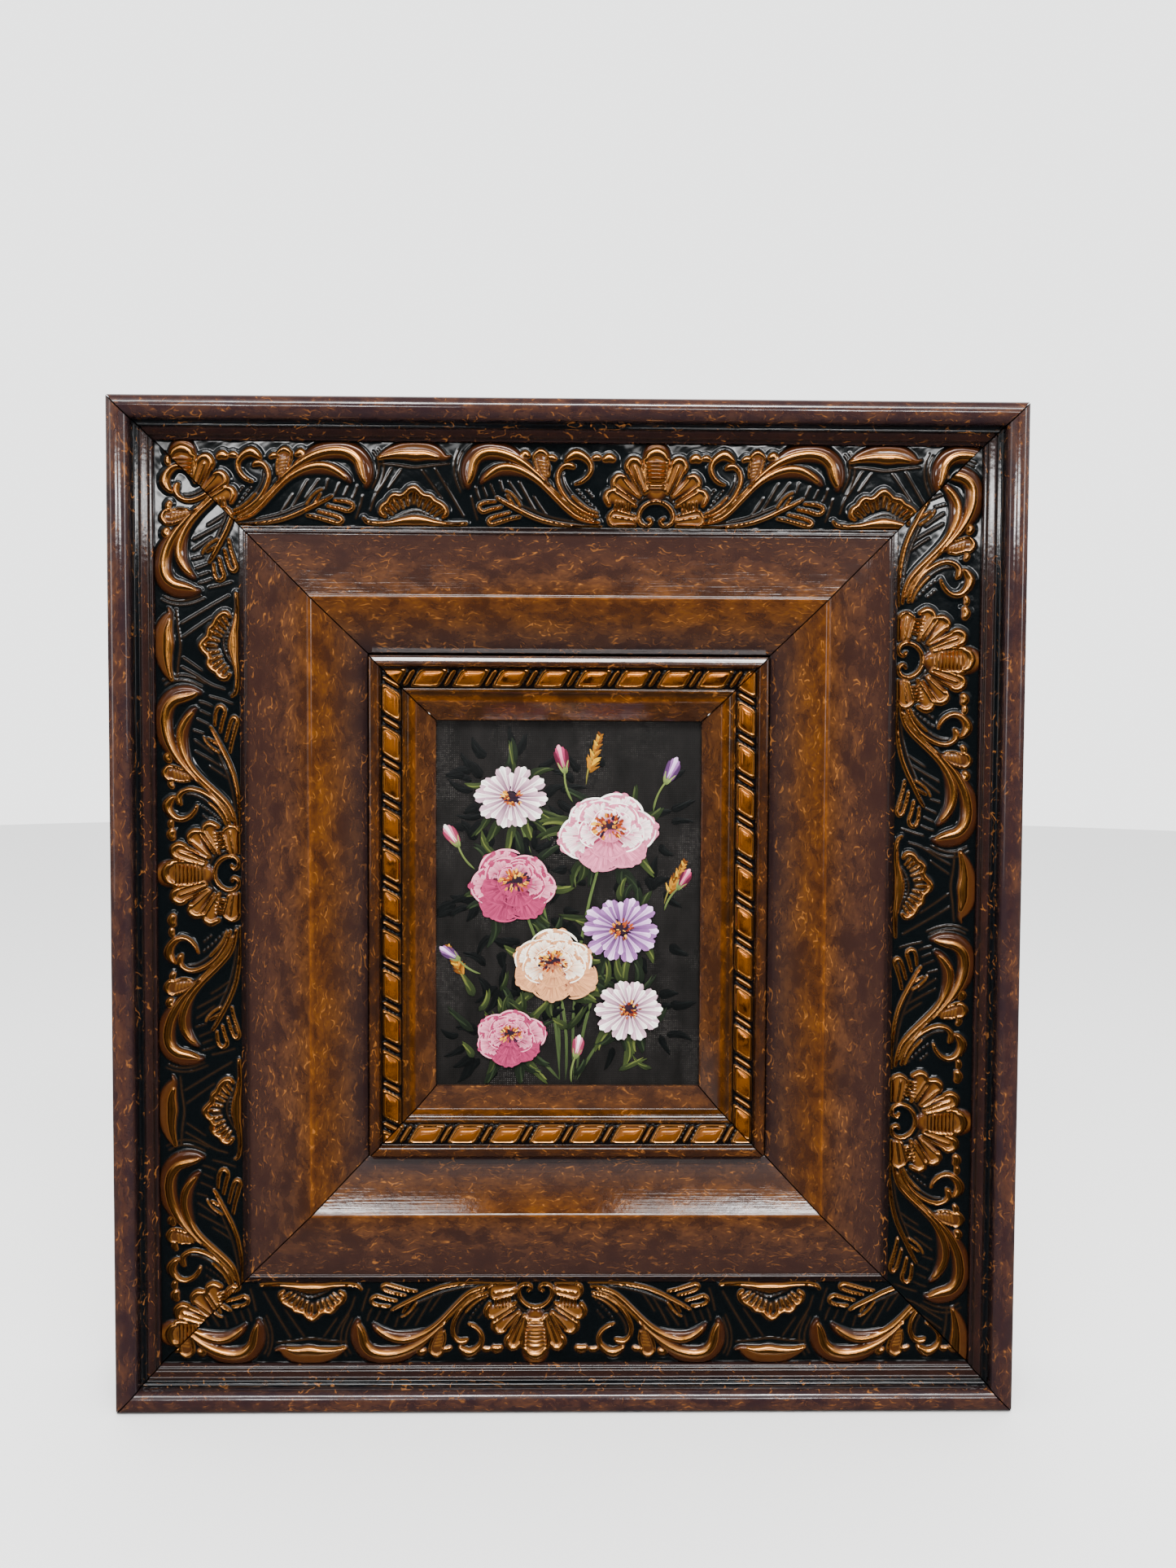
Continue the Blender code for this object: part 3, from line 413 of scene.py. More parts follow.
def place_in_scene(name, data, place=(0, 0, 0), turn=(0, 0, 0)):
    thing = bpy.data.objects.new(name, data)
    thing.location, thing.rotation_euler = place, turn
    bpy.context.scene.collection.objects.link(thing)
    return thing


def rail_matrix(side):
    """Turns and moves the top rail's shape to its side of the frame."""
    turns = {"top": 0, "right": 90, "bottom": 180, "left": 270}
    across = FRAME_LOW.x if side in ("top", "left") else FRAME_HIGH.x
    up = FRAME_HIGH.z if side in ("top", "right") else FRAME_LOW.z
    turn = Matrix.Rotation(math.radians(turns[side]), 4, "Y")
    return Matrix.Translation((across, BACK_PLANE, up)) @ turn


def rail_length(side):
    return FRAME_WIDTH if side in ("top", "bottom") else FRAME_HEIGHT


def half_round(start, width, seat, rise, steps):
    """Points of a rounded bead, its crest `rise` over its seat."""
    points = []
    for step in range(steps + 1):
        angle = math.pi * step / steps
        points.append((start + width * (1 - math.cos(angle)) / 2, seat + rise * math.sin(angle)))
    return points


def crowned(start, end, height_start, height_end, crown, steps):
    """Points inside a gently rounded flat, without its two ends."""
    points = []
    for step in range(1, steps):
        share = step / steps
        level = height_start + (height_end - height_start) * share
        points.append((start + (end - start) * share, level + 4 * crown * share * (1 - share)))
    return points


def softened(points, radius):
    """The outline with each clear corner turned into a short arc."""
    soft = []
    count = len(points)
    for place, point in enumerate(points):
        here = Vector(point)
        before = Vector(points[place - 1]) - here
        after = Vector(points[(place + 1) % count]) - here
        if before.length < 1e-6 or after.length < 1e-6 or before.angle(after) > STRAIGHT:
            soft.append(here)
            continue
        trim = min(radius, before.length * 0.4, after.length * 0.4)
        first = here + before.normalized() * trim
        last = here + after.normalized() * trim
        soft += [first, (first + last) * 0.25 + here * 0.5, last]
    return soft


def held(points):
    """The outline with points near both ends of each long flat, so that shading stays flat on it."""
    firm = []
    for place, point in enumerate(points):
        along = Vector(points[(place + 1) % len(points)]) - Vector(point)
        firm.append(Vector(point))
        if along.length > LONG_FLAT:
            close = along.normalized() * FLAT_HOLD
            firm += [firm[-1] + close, firm[-1] + along - close]
    return firm


def outer_section():
    front = half_round(0, RIM_WIDTH, RIM_SEAT, RIM_RISE, steps=28) + STEPS + BAND_BED + PANELS
    front += crowned(PANEL_START, PANEL_END, PANEL_TOP, PANEL_LIP, PANEL_CROWN, steps=14)
    return held(softened(front + [(PANEL_END, PANEL_LIP)] + OUTER_BACK, CORNER))


def inner_section():
    return held(softened(BEAD + ROPE_BED + COVE + SIGHT + INNER_BACK, CORNER))


def cut_mitres(bm, length, cap):
    """Cut a top rail's two ends at 45 degrees, and close them if it is a solid."""
    gap = MITRE_GAP * MM / math.sqrt(2)
    for start, turn in ((gap, -1), (length - gap, 1)):
        everything = bm.verts[:] + bm.edges[:] + bm.faces[:]
        cut = bmesh.ops.bisect_plane(
            bm, geom=everything, dist=1e-7, plane_co=(start, 0, 0), plane_no=(turn, 0, -1), clear_outer=True)
        if cap:
            rim = [item for item in cut["geom_cut"] if isinstance(item, bmesh.types.BMEdge)]
            bmesh.ops.edgeloop_fill(bm, edges=rim)


def keep_rail_place(mesh, side):
    """Store each point's place on its rail, so that a finish follows the rail."""
    points = places_of(mesh)
    place = np.stack([points[:, 0] + SIDES.index(side), -points[:, 2], -points[:, 1]], axis=1)
    keep_values(mesh, "rail_place", "FLOAT_VECTOR", "vector", place)


def add_piece(name, mesh, slot, *materials):
    """A finished piece that rides with the frame."""
    for material in materials:
        mesh.materials.append(material)
    piece = place_in_scene(name, mesh)
    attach(piece, "root")
    return piece


def moulding_mesh(name, side, section):
    """A section drawn out along the rail, mitred, with bare wood on its back and stain on its sawn ends."""
    length = rail_length(side)
    bm = bmesh.new()
    face = bm.faces.new([bm.verts.new((0, -height * MM, -inset * MM)) for inset, height in section])
    drawn = bmesh.ops.extrude_face_region(bm, geom=[face])
    moved = [item for item in drawn["geom"] if isinstance(item, bmesh.types.BMVert)]
    bmesh.ops.translate(bm, verts=moved, vec=(length, 0, 0))
    cut_mitres(bm, length, cap=True)
    bmesh.ops.recalc_face_normals(bm, faces=bm.faces)
    for face in bm.faces:
        height = -face.calc_center_median().y / MM
        looks_back = face.normal.y > 0.3
        inner_wall = face.normal.z < -0.9 and height < BARE_HEIGHT
        if abs(face.normal.x) > 0.1:
            face.material_index = SAWN_END
        elif looks_back or inner_wall:
            face.material_index = BARE_WOOD
    mesh = finished(name, bm)
    shaded(mesh, sharp_angle=38)
    keep_rail_place(mesh, side)
    mesh.transform(rail_matrix(side))
    return mesh


def relief_mesh(name, side, start, end, grid, surface):
    """A closed strip of fine relief that lies in its bed; surface gives height, copper and body marks."""
    length = rail_length(side)
    low, high = (start + BED_GAP) * MM, (end - BED_GAP) * MM
    place = Matrix.Translation((length / 2, 0, -(low + high) / 2)) @ Matrix.Rotation(math.pi / 2, 4, "X")
    bm = bmesh.new()
    bmesh.ops.create_grid(
        bm, x_segments=round(length / grid), y_segments=round((high - low) / grid), size=0.5,
        matrix=place @ Matrix.Diagonal((length, high - low, 1, 1)))
    cut_mitres(bm, length, cap=False)
    rim = [edge for edge in bm.edges if edge.is_boundary]
    skirt = bmesh.ops.extrude_edge_only(bm, edges=rim)
    lower = [item for item in skirt["geom"] if isinstance(item, bmesh.types.BMVert)]
    bmesh.ops.translate(bm, verts=lower, vec=(0, 1, 0))
    bottom = [item for item in skirt["geom"] if isinstance(item, bmesh.types.BMEdge) and item.is_boundary]
    bmesh.ops.edgeloop_fill(bm, edges=bottom)
    mesh = finished(name, bm)

    points = places_of(mesh)
    along, inset = points[:, 0] / MM, -points[:, 2] / MM
    height, ground, copper, body = surface(along, inset)
    is_floor = points[:, 1] > 0.5
    height = np.where(is_floor, ground - BED_DROP + BED_GAP, height)
    points[:, 1] = -height * MM
    mesh.vertices.foreach_set("co", points.astype(np.float32).ravel())
    mesh.update()
    shaded(mesh, sharp_angle=75)
    keep_rail_place(mesh, side)
    keep_values(mesh, "copper", "FLOAT", "value", copper * ~is_floor)
    keep_values(mesh, "body", "FLOAT", "value", body * ~is_floor)
    mesh.transform(rail_matrix(side))
    return mesh


def smooth_step(low, high, value):
    share = np.clip((value - low) / (high - low), 0, 1)
    return share * share * (3 - 2 * share)


def between_walls(inset, start, end, reach):
    """One inside a band, falling to nothing where its relief meets the walls beside it."""
    return smooth_step(0, reach, inset - start - BED_GAP) * smooth_step(0, reach, end - BED_GAP - inset)


def round_top(share):
    """Height of a half round at a share of its half width."""
    return np.sqrt(np.clip(1 - share ** 2, 0, 1))


def smooth_path(points, steps=6):
    """A path through the points with rounded turns, as rows of (along, inset, width)."""
    points = np.array(points, float)
    if len(points) < 3:
        return points
    padded = np.vstack([2 * points[0] - points[1], points, 2 * points[-1] - points[-2]])
    shares = np.linspace(0, 1, steps, endpoint=False)[:, None]
    rows = []
    for place in range(1, len(padded) - 2):
        a, b, c, d = padded[place - 1:place + 3]
        rows.append(0.5 * (2 * b + (c - a) * shares + (2 * a - 5 * b + 4 * c - d) * shares ** 2
                           + (3 * b - a - 3 * c + d) * shares ** 3))
    rows.append(points[-1:])
    path = np.vstack(rows)
    path[:, 2] = np.maximum(path[:, 2], 0.3)
    return path


class CarvingSheet:
    """Height, copper and body of one repeat of the carved band, on a grid that wraps round at its ends."""

    def __init__(self, vein_height):
        self.vein_height = vein_height
        self.columns = round(REPEAT / CELL)
        self.rows = round((BAND_END - BAND_START) / CELL) + 1
        self.height = np.zeros((self.rows, self.columns))
        self.copper = np.zeros_like(self.height)
        self.body = np.zeros_like(self.height)
        self.step = np.zeros_like(self.height)

    def near(self, path, beside):
        """The cells round a path, with each one's distance from its middle line as a share of its half
        width there, and that half width."""
        margin = path[:, 2].max() / 2 + beside + CELL
        first = math.floor((path[:, 0].min() - margin) / CELL)
        last = math.ceil((path[:, 0].max() + margin) / CELL)
        top = max(0, math.floor((path[:, 1].min() - margin - BAND_START) / CELL))
        bottom = min(self.rows - 1, math.ceil((path[:, 1].max() + margin - BAND_START) / CELL))
        along = np.arange(first, last + 1)
        down = np.arange(top, bottom + 1)
        x, y = np.meshgrid(along * CELL, BAND_START + down * CELL)
        share = np.full(x.shape, 99.0)
        half = np.ones_like(share)
        for a, b in zip(path[:-1], path[1:]):
            run = b[:2] - a[:2]
            t = np.clip(((x - a[0]) * run[0] + (y - a[1]) * run[1]) / max(run @ run, 1e-9), 0, 1)
            width = (a[2] + (b[2] - a[2]) * t) / 2
            found = np.hypot(x - a[0] - run[0] * t, y - a[1] - run[1] * t) / width
            closer = found < share
            share[closer] = found[closer]
            half[closer] = width[closer]
        return np.ix_(down, along % self.columns), share, half

    def raise_stroke(self, kind, crest, points):
        fullness, copper, body, beside = KINDS[kind]
        cells, share, half = self.near(smooth_path(points), beside)
        inside = np.clip(share, 0, 1)
        height = crest * (1 - inside ** fullness) ** (1 / fullness)
        if kind == "dark":
            height = height * self.vein_height
        margin = (1 - share) * half
        rubbed = copper * smooth_step(0.12 * half + 0.03, 0.55 * half, margin)
        taller = height > self.height[cells]
        self.height[cells] = np.where(taller, height, self.height[cells])
        self.copper[cells] = np.where(taller, rubbed, self.copper[cells])
        self.body[cells] = np.where(taller, body * smooth_step(0.0, 0.35, margin), self.body[cells])
        if beside:
            step = STEP_RISE * smooth_step(0, 0.6, margin + beside)
            self.step[cells] = np.maximum(self.step[cells], step)

    def soften(self):
        """Round off the steps of the grid, as the lacquer does."""
        self.height = np.maximum(self.height, self.step)
        for name in ("height", "copper", "body"):
            values = getattr(self, name)
            values = (np.roll(values, 1, 1) + 2 * values + np.roll(values, -1, 1)) / 4
            padded = np.pad(values, ((1, 1), (0, 0)), mode="edge")
            setattr(self, name, (padded[:-2] + 2 * values + padded[2:]) / 4)

    def read(self, values, along, inset):
        """Values of the sheet between its cells."""
        column = along / CELL
        row = np.clip((inset - BAND_START) / CELL, 0, self.rows - 1.001)
        left, upper = np.floor(column).astype(int), np.floor(row).astype(int)
        across, down = column - left, row - upper
        left, right = left % self.columns, (left + 1) % self.columns
        above = values[upper, left] * (1 - across) + values[upper, right] * across
        below = values[upper + 1, left] * (1 - across) + values[upper + 1, right] * across
        return above * (1 - down) + below * down


def mirrored(points, swing):
    """A right-hand stroke carved to the left of the shell."""
    turned = []
    for along, inset, width in points:
        wider = swing * math.sin(math.pi * min(along, LEFT_REACH) / LEFT_REACH)
        turned.append((-along - wider, inset, width))
    return turned


def draw_carving(vein_height):
    """The whole carving of one repeat."""
    sheet = CarvingSheet(vein_height)
    strokes = list(SHELL_MIDDLE)
    for rib, inset in enumerate(SHELL_RIBS):
        reach = 4.5 - 0.16 * rib
        strokes.append(("ridge", 2.8, [(-reach, inset, 0.9), (0, inset + 0.1, 1.0), (reach, inset, 0.9)]))
    halves = [(kind, crest, points, 0) for kind, crest, points in SHELL_HALF]
    for along in SHELL_BARS:
        bar = [(along, 43.4 - 0.1 * (along - 11), 0.8), (along + 0.5, 47.2, 0.8)]
        halves.append(("ridge", 2.1, bar, 0))
    halves += [(kind, crest, points, LEFT_SPREAD) for kind, crest, points in SPRAY]
    for along, inset in SPRAY_DOTS:
        dot = [(along - 0.2, inset + 0.2, 1.1), (along + 0.2, inset - 0.2, 1.1)]
        halves.append(("dark", 1.0, dot, LEFT_SPREAD))
    for inset, reach in POD_BARS:
        middle = 45.0 - 0.22 * (inset - 25)
        bar = [(middle - reach, inset + 0.3, 0.7), (middle + reach, inset - 0.3, 0.7)]
        halves.append(("worn", 2.1, bar, LEFT_SPREAD))
    for kind, crest, points, swing in halves:
        strokes.append((kind, crest, points))
        strokes.append((kind, crest, mirrored(points, swing)))
    for kind, crest, points in FAN:
        strokes.append((kind, crest, [(along + FAN_MIDDLE, inset, width) for along, inset, width in points]))
    for along, inset in FAN_SPIKES:
        aim = Vector((FAN_EYE[0] - along, FAN_EYE[1] - inset)).normalized()
        spike = [(along + FAN_MIDDLE - aim.x * 1.4, inset - aim.y * 1.4, 1.5),
                 (along + FAN_MIDDLE + aim.x * 3.6, inset + aim.y * 3.6, 0.5)]
        strokes.append(("ridge", 2.2, spike))
    for tooth in FAN_TEETH:
        across = FAN_MIDDLE + tooth
        strokes.append(("dark", 2.5, [(across, 48.6, 0.6), (across + 0.25, 50.4, 0.7)]))
    for kind, crest, points in strokes:
        sheet.raise_stroke(kind, crest, points)
    sheet.soften()
    return sheet


def carved_surface(sheet, side, scale):
    """Height and wear of the carved band of one rail."""
    def surface(along, inset):
        share = (inset - BAND_START) / (BAND_END - BAND_START)
        ground = BAND_HIGH + (BAND_LOW - BAND_HIGH) * share
        across = along - SHELL_PLACE[side]
        edge = between_walls(inset, BAND_START, BAND_END, 0.5)
        # Lacquer pools in long low waves with a finer ripple over them
        pooled = 0.03 * np.sin(along * 0.31 + 0.9) * np.sin(inset * 0.43 - along * 0.11)
        ripple = np.sin(along * 1.3 + 1.8 * np.sin(inset * 0.7)) * np.sin(inset + 1.5 * np.sin(along * 0.4))
        pooled += 0.006 * ripple
        height = ground + (sheet.read(sheet.height, across, inset) * scale + pooled) * edge
        copper = sheet.read(sheet.copper, across, inset) * edge
        return height, ground, copper, sheet.read(sheet.body, across, inset) * edge
    return surface


def rope_surface(side):
    """Height and wear of the rope band of one rail: pillows with a rubbed edge, and slim ribs between
    rows of beads. On the bottom rail the metal and brown are halved as painted shade."""
    middle = rail_length(side) / MM / 2 + ROPE_PLACE[side]
    slope = math.hypot(ROPE_REACH, ROPE_SLANT) / ROPE_REACH

    def surface(along, inset):
        share = (inset - ROPE_START) / (ROPE_END - ROPE_START)
        ground = ROPE_HIGH + (ROPE_LOW - ROPE_HIGH) * share
        across = (0.5 - share) * (ROPE_END - ROPE_START)
        leaning = along - middle - across * ROPE_SLANT / ROPE_REACH
        turn = np.floor(leaning / ROPE_PITCH)
        rib = leaning - ROPE_PITCH * np.round(leaning / ROPE_PITCH)
        lozenge = leaning - ROPE_PITCH * (turn + 0.5)
        wobble = 0.25 * np.sin(turn * 2.4)
        side_edge = (LOZENGE_LENGTH / 2 - np.abs(lozenge + wobble)) / slope
        end_edge = ROPE_REACH / 2 - np.abs(across)
        inner = -0.5 * np.log(np.exp(-side_edge / 0.5) + np.exp(-end_edge / 0.5))
        lozenge_edge = LOZENGE_EDGE * smooth_step(-0.1, 0.6, inner)
        dip = 0.35 * np.exp(-((inner - 1.25) / 0.3) ** 2) * (inner > 0)
        pillow = (LOZENGE_HEIGHT - LOZENGE_EDGE) * (1 - (1 - np.clip((inner - 1.3) / 2.6, 0, 1)) ** 2)
        taper = smooth_step(0, 1.6, ROPE_REACH / 2 - 0.1 - np.abs(across))
        away = np.abs(rib) / slope
        rib_half = RIB_HALF * taper
        rib_rise = RIB_HEIGHT * round_top(away / np.maximum(rib_half, 0.05))
        swell = 0.75 + 0.25 * np.sin(across * 3.6 + np.sign(rib))
        beads_rise = BEADS_HEIGHT * swell * taper * round_top((away - BEADS_AWAY) / BEADS_HALF)
        rise = np.maximum(lozenge_edge - dip + pillow, np.maximum(rib_rise, beads_rise))
        copper = smooth_step(0.1, 0.45, inner) * (1 - smooth_step(0.95, 1.35, inner))
        copper = np.maximum(copper, smooth_step(0.15, 0.6, rib_half - away))
        edge = between_walls(inset, ROPE_START, ROPE_END, 0.3)
        # Painted shade: a share under 1 dims the metal and brown of that rail's rope
        rub_and_shade = ROPE_RUB_AND_SHADE[side]
        return ground + rise * edge, ground, copper * edge * rub_and_shade, smooth_step(1.1, 1.5, inner) * edge * rub_and_shade
    return surface


# Brush strokes

PEONY_TILT, DAISY_TILT = 0.82, 0.86     # blooms are seen a little from the side
PETAL_ROOT = 0.14                       # where a petal's strokes end, as a share of its reach
DAISY_PETALS = 10


class Brush:
    """Lays strokes of paint; each is a thin closed dab with its own colours."""

    def __init__(self, seed, body, lift):
        self.rng = np.random.default_rng(seed)
        self.body = body / MM
        self.lift = lift
        self.dabs = []

    def dab(self, start, end, width, tint, end_tint=None, bend=0.0, taper=0.6):
        """A stroke from start to end, in millimetres from the painting's middle."""
        shift = 1 + self.rng.normal(0, 0.05)
        first, last = (np.maximum(0, np.array(linear(code)[:3]) * shift)
                       for code in (tint, end_tint or tint))
        self.dabs.append((start, end, width, first, last, bend, taper, self.lift))
        self.lift += STROKE_STEP

    def mesh(self, name, centre, face):
        """All strokes as one mesh."""
        bm = bmesh.new()
        bmesh.ops.create_grid(bm, x_segments=8, y_segments=3, size=0.5)
        bmesh.ops.edgeloop_fill(bm, edges=[edge for edge in bm.edges if edge.is_boundary])
        pattern = finished("dab", bm)
        bm = bmesh.new()
        for _ in self.dabs:
            bm.from_mesh(pattern)
        mesh = finished(name, bm)
        shape = places_of(pattern)
        bpy.data.meshes.remove(pattern)

        run, side = shape[:, 0] + 0.5, shape[:, 1]
        rim = (np.abs(side) > 0.499) | (run < 0.001) | (run > 0.999)
        places, paints, marks = [], [], []
        for start, end, width, first, last, bend, taper, lift in self.dabs:
            start, end = np.array(start, float), np.array(end, float)
            ahead = end - start
            length = max(np.hypot(*ahead), 0.01)
            normal = np.array([-ahead[1], ahead[0]]) / length
            arch = bend * length * 4 * run * (1 - run)
            breadth = width * np.sqrt(np.clip(np.minimum(run / 0.16, 1.0), 0.06, 1)) * (1 - taper * run ** 2)
            ragged = 1 + 0.07 * np.sin(run * 9 + start[0] * 3)
            flat = start + ahead * run[:, None] + normal * (arch + side * breadth * ragged)[:, None]
            flat = np.clip(flat, (-FIELD[0], -FIELD[1]), FIELD)
            rise = lift + np.where(rim, 0, self.body * (0.55 + 0.45 * np.cos(side * 5.5)))
            places.append(np.stack([flat[:, 0] + centre[0], -(face + rise), flat[:, 1] + centre[1]], axis=1))
            blend = run[:, None] ** 0.8
            colours = first * (1 - blend) + last * blend
            paints.append(np.hstack([colours, np.ones((len(run), 1))]))
            apart = np.full(len(run), start[0] * 7.3 + lift * 90)
            marks.append(np.stack([run * length, side * breadth, apart], axis=1))
        points = np.vstack(places) * MM
        points[:, 1] += BACK_PLANE
        mesh.vertices.foreach_set("co", points.astype(np.float32).ravel())
        mesh.update()
        keep_values(mesh, "paint", "FLOAT_COLOR", "color", np.vstack(paints))
        keep_values(mesh, "stroke_place", "FLOAT_VECTOR", "vector", np.vstack(marks) * MM)
        shaded(mesh, sharp_angle=60)
        return mesh


def towards(centre, angle, distance, squash=1.0):
    """A point at a distance and angle, in degrees, from a centre."""
    turn = math.radians(angle)
    return centre[0] + distance * math.cos(turn), centre[1] + distance * math.sin(turn) * squash


def paint_leaf(brush, base, angle, length, width, tints):
    """Two long strokes, the second narrower and lighter towards its tip."""
    tip = towards(base, angle, length)
    bend = brush.rng.uniform(-0.14, 0.14)
    brush.dab(base, tip, width, tints[0], tints[1], bend, 0.9)
    middle = towards(base, angle, length * 0.15)
    brush.dab(middle, towards(base, angle + 5, length * 0.9), width * 0.5, tints[1], tints[2], bend, 0.9)


def paint_petal(brush, centre, angle, reach, breadth, tints, squash):
    """One broad petal: strokes fan in from a pale rim to a deep heart, with a light curled edge."""
    light, middle, deep = tints
    if math.sin(math.radians(angle)) < -0.4:
        light = middle
    radius = reach * (1 + brush.rng.uniform(-0.1, 0.1))

    def stroke(lean, rim, root, width, first, last):
        tip = radius * rim * (1 - 0.32 * abs(lean) ** 2.4)
        start = towards(centre, angle + lean * breadth / 2, tip, squash)
        end = towards(centre, angle + lean * breadth * 0.34, radius * root, squash)
        brush.dab(start, end, radius * breadth * width, first, last, 0.05 * lean, 0.5)

    for step in range(7):
        shade = deep if step in (0, 6) else middle
        stroke((step - 3) / 3, brush.rng.uniform(0.99, 1.05), PETAL_ROOT, 0.0056, shade, deep)
    for step in range(7):
        stroke((step - 3) / 3.2, brush.rng.uniform(0.95, 1.0), PETAL_ROOT + 0.12, 0.0046, light, deep)
    for step in range(6):
        lean = (step - 2.5) / 3 + brush.rng.uniform(-0.08, 0.08)
        rim, root = brush.rng.uniform(0.9, 1.0), PETAL_ROOT + brush.rng.uniform(0.25, 0.5)
        stroke(lean, rim, root, 0.0036, light, middle)
    for lean in (-0.7, -0.3, 0.1, 0.5):
        lean += brush.rng.uniform(-0.1, 0.1)
        stroke(lean, brush.rng.uniform(0.6, 0.85), PETAL_ROOT, 0.0013, middle, deep)
    for edge in (-0.3, 0.3):
        ends = [towards(centre, angle + share * breadth, radius * (0.98 - 0.26 * abs(share)), squash)
                for share in (edge - 0.26, edge + 0.26)]
        brush.dab(*ends, radius * 0.05, light, light, -0.12, 0.5)


def paint_stamens(brush, centre, radius, squash, dots):
    """A dark heart dotted with gold."""
    brush.dab(towards(centre, 180, radius * 0.7), towards(centre, 0, radius * 0.7), radius * 1.1,
              "#2a1418", "#1e0e21", 0.0, 0.3)
    for _ in range(dots):
        angle, reach = brush.rng.uniform(0, 360), radius * math.sqrt(brush.rng.uniform(0, 1))
        spot = towards(centre, angle, reach, squash)
        tint = ("#b06c08", "#8f3c0c", "#d9a024", "#1e0e21", "#6e2408")[int(brush.rng.integers(5))]
        brush.dab(spot, towards(spot, angle, radius * 0.36), radius * 0.26, tint, tint, 0, 0.4)


def paint_peony(brush, centre, radius, tints):
    """A full bloom: two rings of broad petals and a cup of small ones round a golden heart, set a little
    high."""
    turn = brush.rng.uniform(0, 360)
    for ring, (reach, count, breadth) in enumerate(((1.0, 6, 62), (0.7, 5, 72), (0.44, 4, 88))):
        heart = (centre[0], centre[1] + radius * 0.08 * ring)
        order = sorted(range(count), key=lambda petal: -math.sin(math.radians(turn + 360 * petal / count)))
        for petal in order:
            angle = turn + 360 * petal / count
            paint_petal(brush, heart, angle, radius * reach, breadth, tints, PEONY_TILT)
        turn += 180 / count + 11
    paint_stamens(brush, (centre[0], centre[1] + radius * 0.14), radius * 0.28, PEONY_TILT * 0.8, 60)


def paint_daisy(brush, centre, radius, tints):
    """An open bloom of broad rays round a dotted heart."""
    light, middle, deep = tints
    for reach, offset in ((1.0, 0.0), (0.8, 0.5)):
        for petal in range(DAISY_PETALS):
            angle = 360 * (petal + offset) / DAISY_PETALS + brush.rng.uniform(-5, 5)
            length = radius * reach * brush.rng.uniform(0.93, 1.05)
            for lean, width in ((-9, 0.22), (9, 0.22), (0, 0.25), (-4, 0.1), (5, 0.09)):
                tint = middle if width > 0.15 and lean else light
                brush.dab(towards(centre, angle + lean, length * (0.98 if lean else 1.02), DAISY_TILT),
                          towards(centre, angle + lean * 0.4, radius * 0.2, DAISY_TILT),
                          radius * width, tint, deep if width > 0.15 else middle, 0.03 * lean / 7, 0.55)
    paint_stamens(brush, centre, radius * 0.26, DAISY_TILT, 46)


def paint_bud(brush, base, angle, length, tints):
    """A closed bud on a short stem."""
    stem = towards(base, angle + 180, length * 1.3)
    brush.dab(stem, base, 1.0, "#3d4a26", "#5f6b34", 0.08, 0.2)
    for lean, tint in ((-16, 2), (16, 2), (-8, 1), (8, 1), (0, 0), (3, 0)):
        brush.dab(base, towards(base, angle + lean, length * (1 - abs(lean) / 80)), length * 0.3,
                  tints[min(tint + 1, 2)], tints[tint], 0.02 * lean / 8, 0.7)
    for lean in (-34, 30, -4):
        brush.dab(towards(base, angle + 180, length * 0.16), towards(base, angle + lean, length * 0.42),
                  length * 0.16, "#44522a", "#7c8a45", 0.04, 0.85)


def paint_sprig(brush, base, angle, length):
    """A feathery ochre spike."""
    tip = towards(base, angle, length)
    brush.dab(base, tip, 0.8, "#4d4a1f", "#8a7a2a", 0.05, 0.5)
    for step in range(22):
        spot = towards(base, angle, length * (0.25 + 0.75 * step / 21))
        lean = angle + (38 if step % 2 else -38) + brush.rng.uniform(-12, 12)
        tint = ("#7a4a02", "#9c6404", "#5e3204", "#b58406")[int(brush.rng.integers(4))]
        brush.dab(spot, towards(spot, lean, length * 0.2 * (1.15 - step / 30)), 1.5, tint, tint, 0.06, 0.8)


def paint_greens(brush):
    """Stems, black leaves behind, green ones round the blooms and at the foot, then spikes and buds."""
    for (x, y), _, _ in BLOOMS:
        brush.dab((x * 0.15, -FIELD[1] + 2), (x, y), 1.4, "#26311a", "#46552a", 0.05 * np.sign(x), 0.2)
    for _ in range(120):
        near, radius, _ = BLOOMS[int(brush.rng.integers(len(BLOOMS)))]
        angle = brush.rng.uniform(0, 360)
        base = towards(near, angle, radius * brush.rng.uniform(0.9, 1.6))
        paint_leaf(brush, base, angle + brush.rng.uniform(-35, 35), brush.rng.uniform(7, 13),
                   brush.rng.uniform(3.4, 5.6), LEAF_TINTS[3])
    for (x, y), radius, _ in BLOOMS:
        for _ in range(11):
            angle = brush.rng.uniform(0, 360)
            base = towards((x, y), angle, radius * 0.7)
            tints = LEAF_TINTS[int(brush.rng.integers(3))]
            paint_leaf(brush, base, angle + brush.rng.uniform(-35, 35), brush.rng.uniform(9, 18),
                       brush.rng.uniform(3.4, 6.0), tints)
    for _ in range(30):
        base = brush.rng.uniform((-46, -82), (40, -40))
        tints = LEAF_TINTS[int(brush.rng.integers(3))]
        paint_leaf(brush, base, brush.rng.uniform(20, 160), brush.rng.uniform(8, 17),
                   brush.rng.uniform(2.4, 4.4), tints)
    for base, angle, length in (((8, 56), 74, 24), ((45, 0), 64, 22), ((-47, -38), 118, 20)):
        paint_sprig(brush, base, angle, length)
    for base, angle, length, tint in BUDS:
        paint_bud(brush, base, angle, length, BLOOM_TINTS[tint])


def paint_blooms(brush):
    """The open flowers, the lower ones over the upper ones."""
    for centre, radius, tint in BLOOMS:
        if tint in ("white", "lilac"):
            paint_daisy(brush, centre, radius, BLOOM_TINTS[tint])
        else:
            paint_peony(brush, centre, radius, BLOOM_TINTS[tint])


# Materials

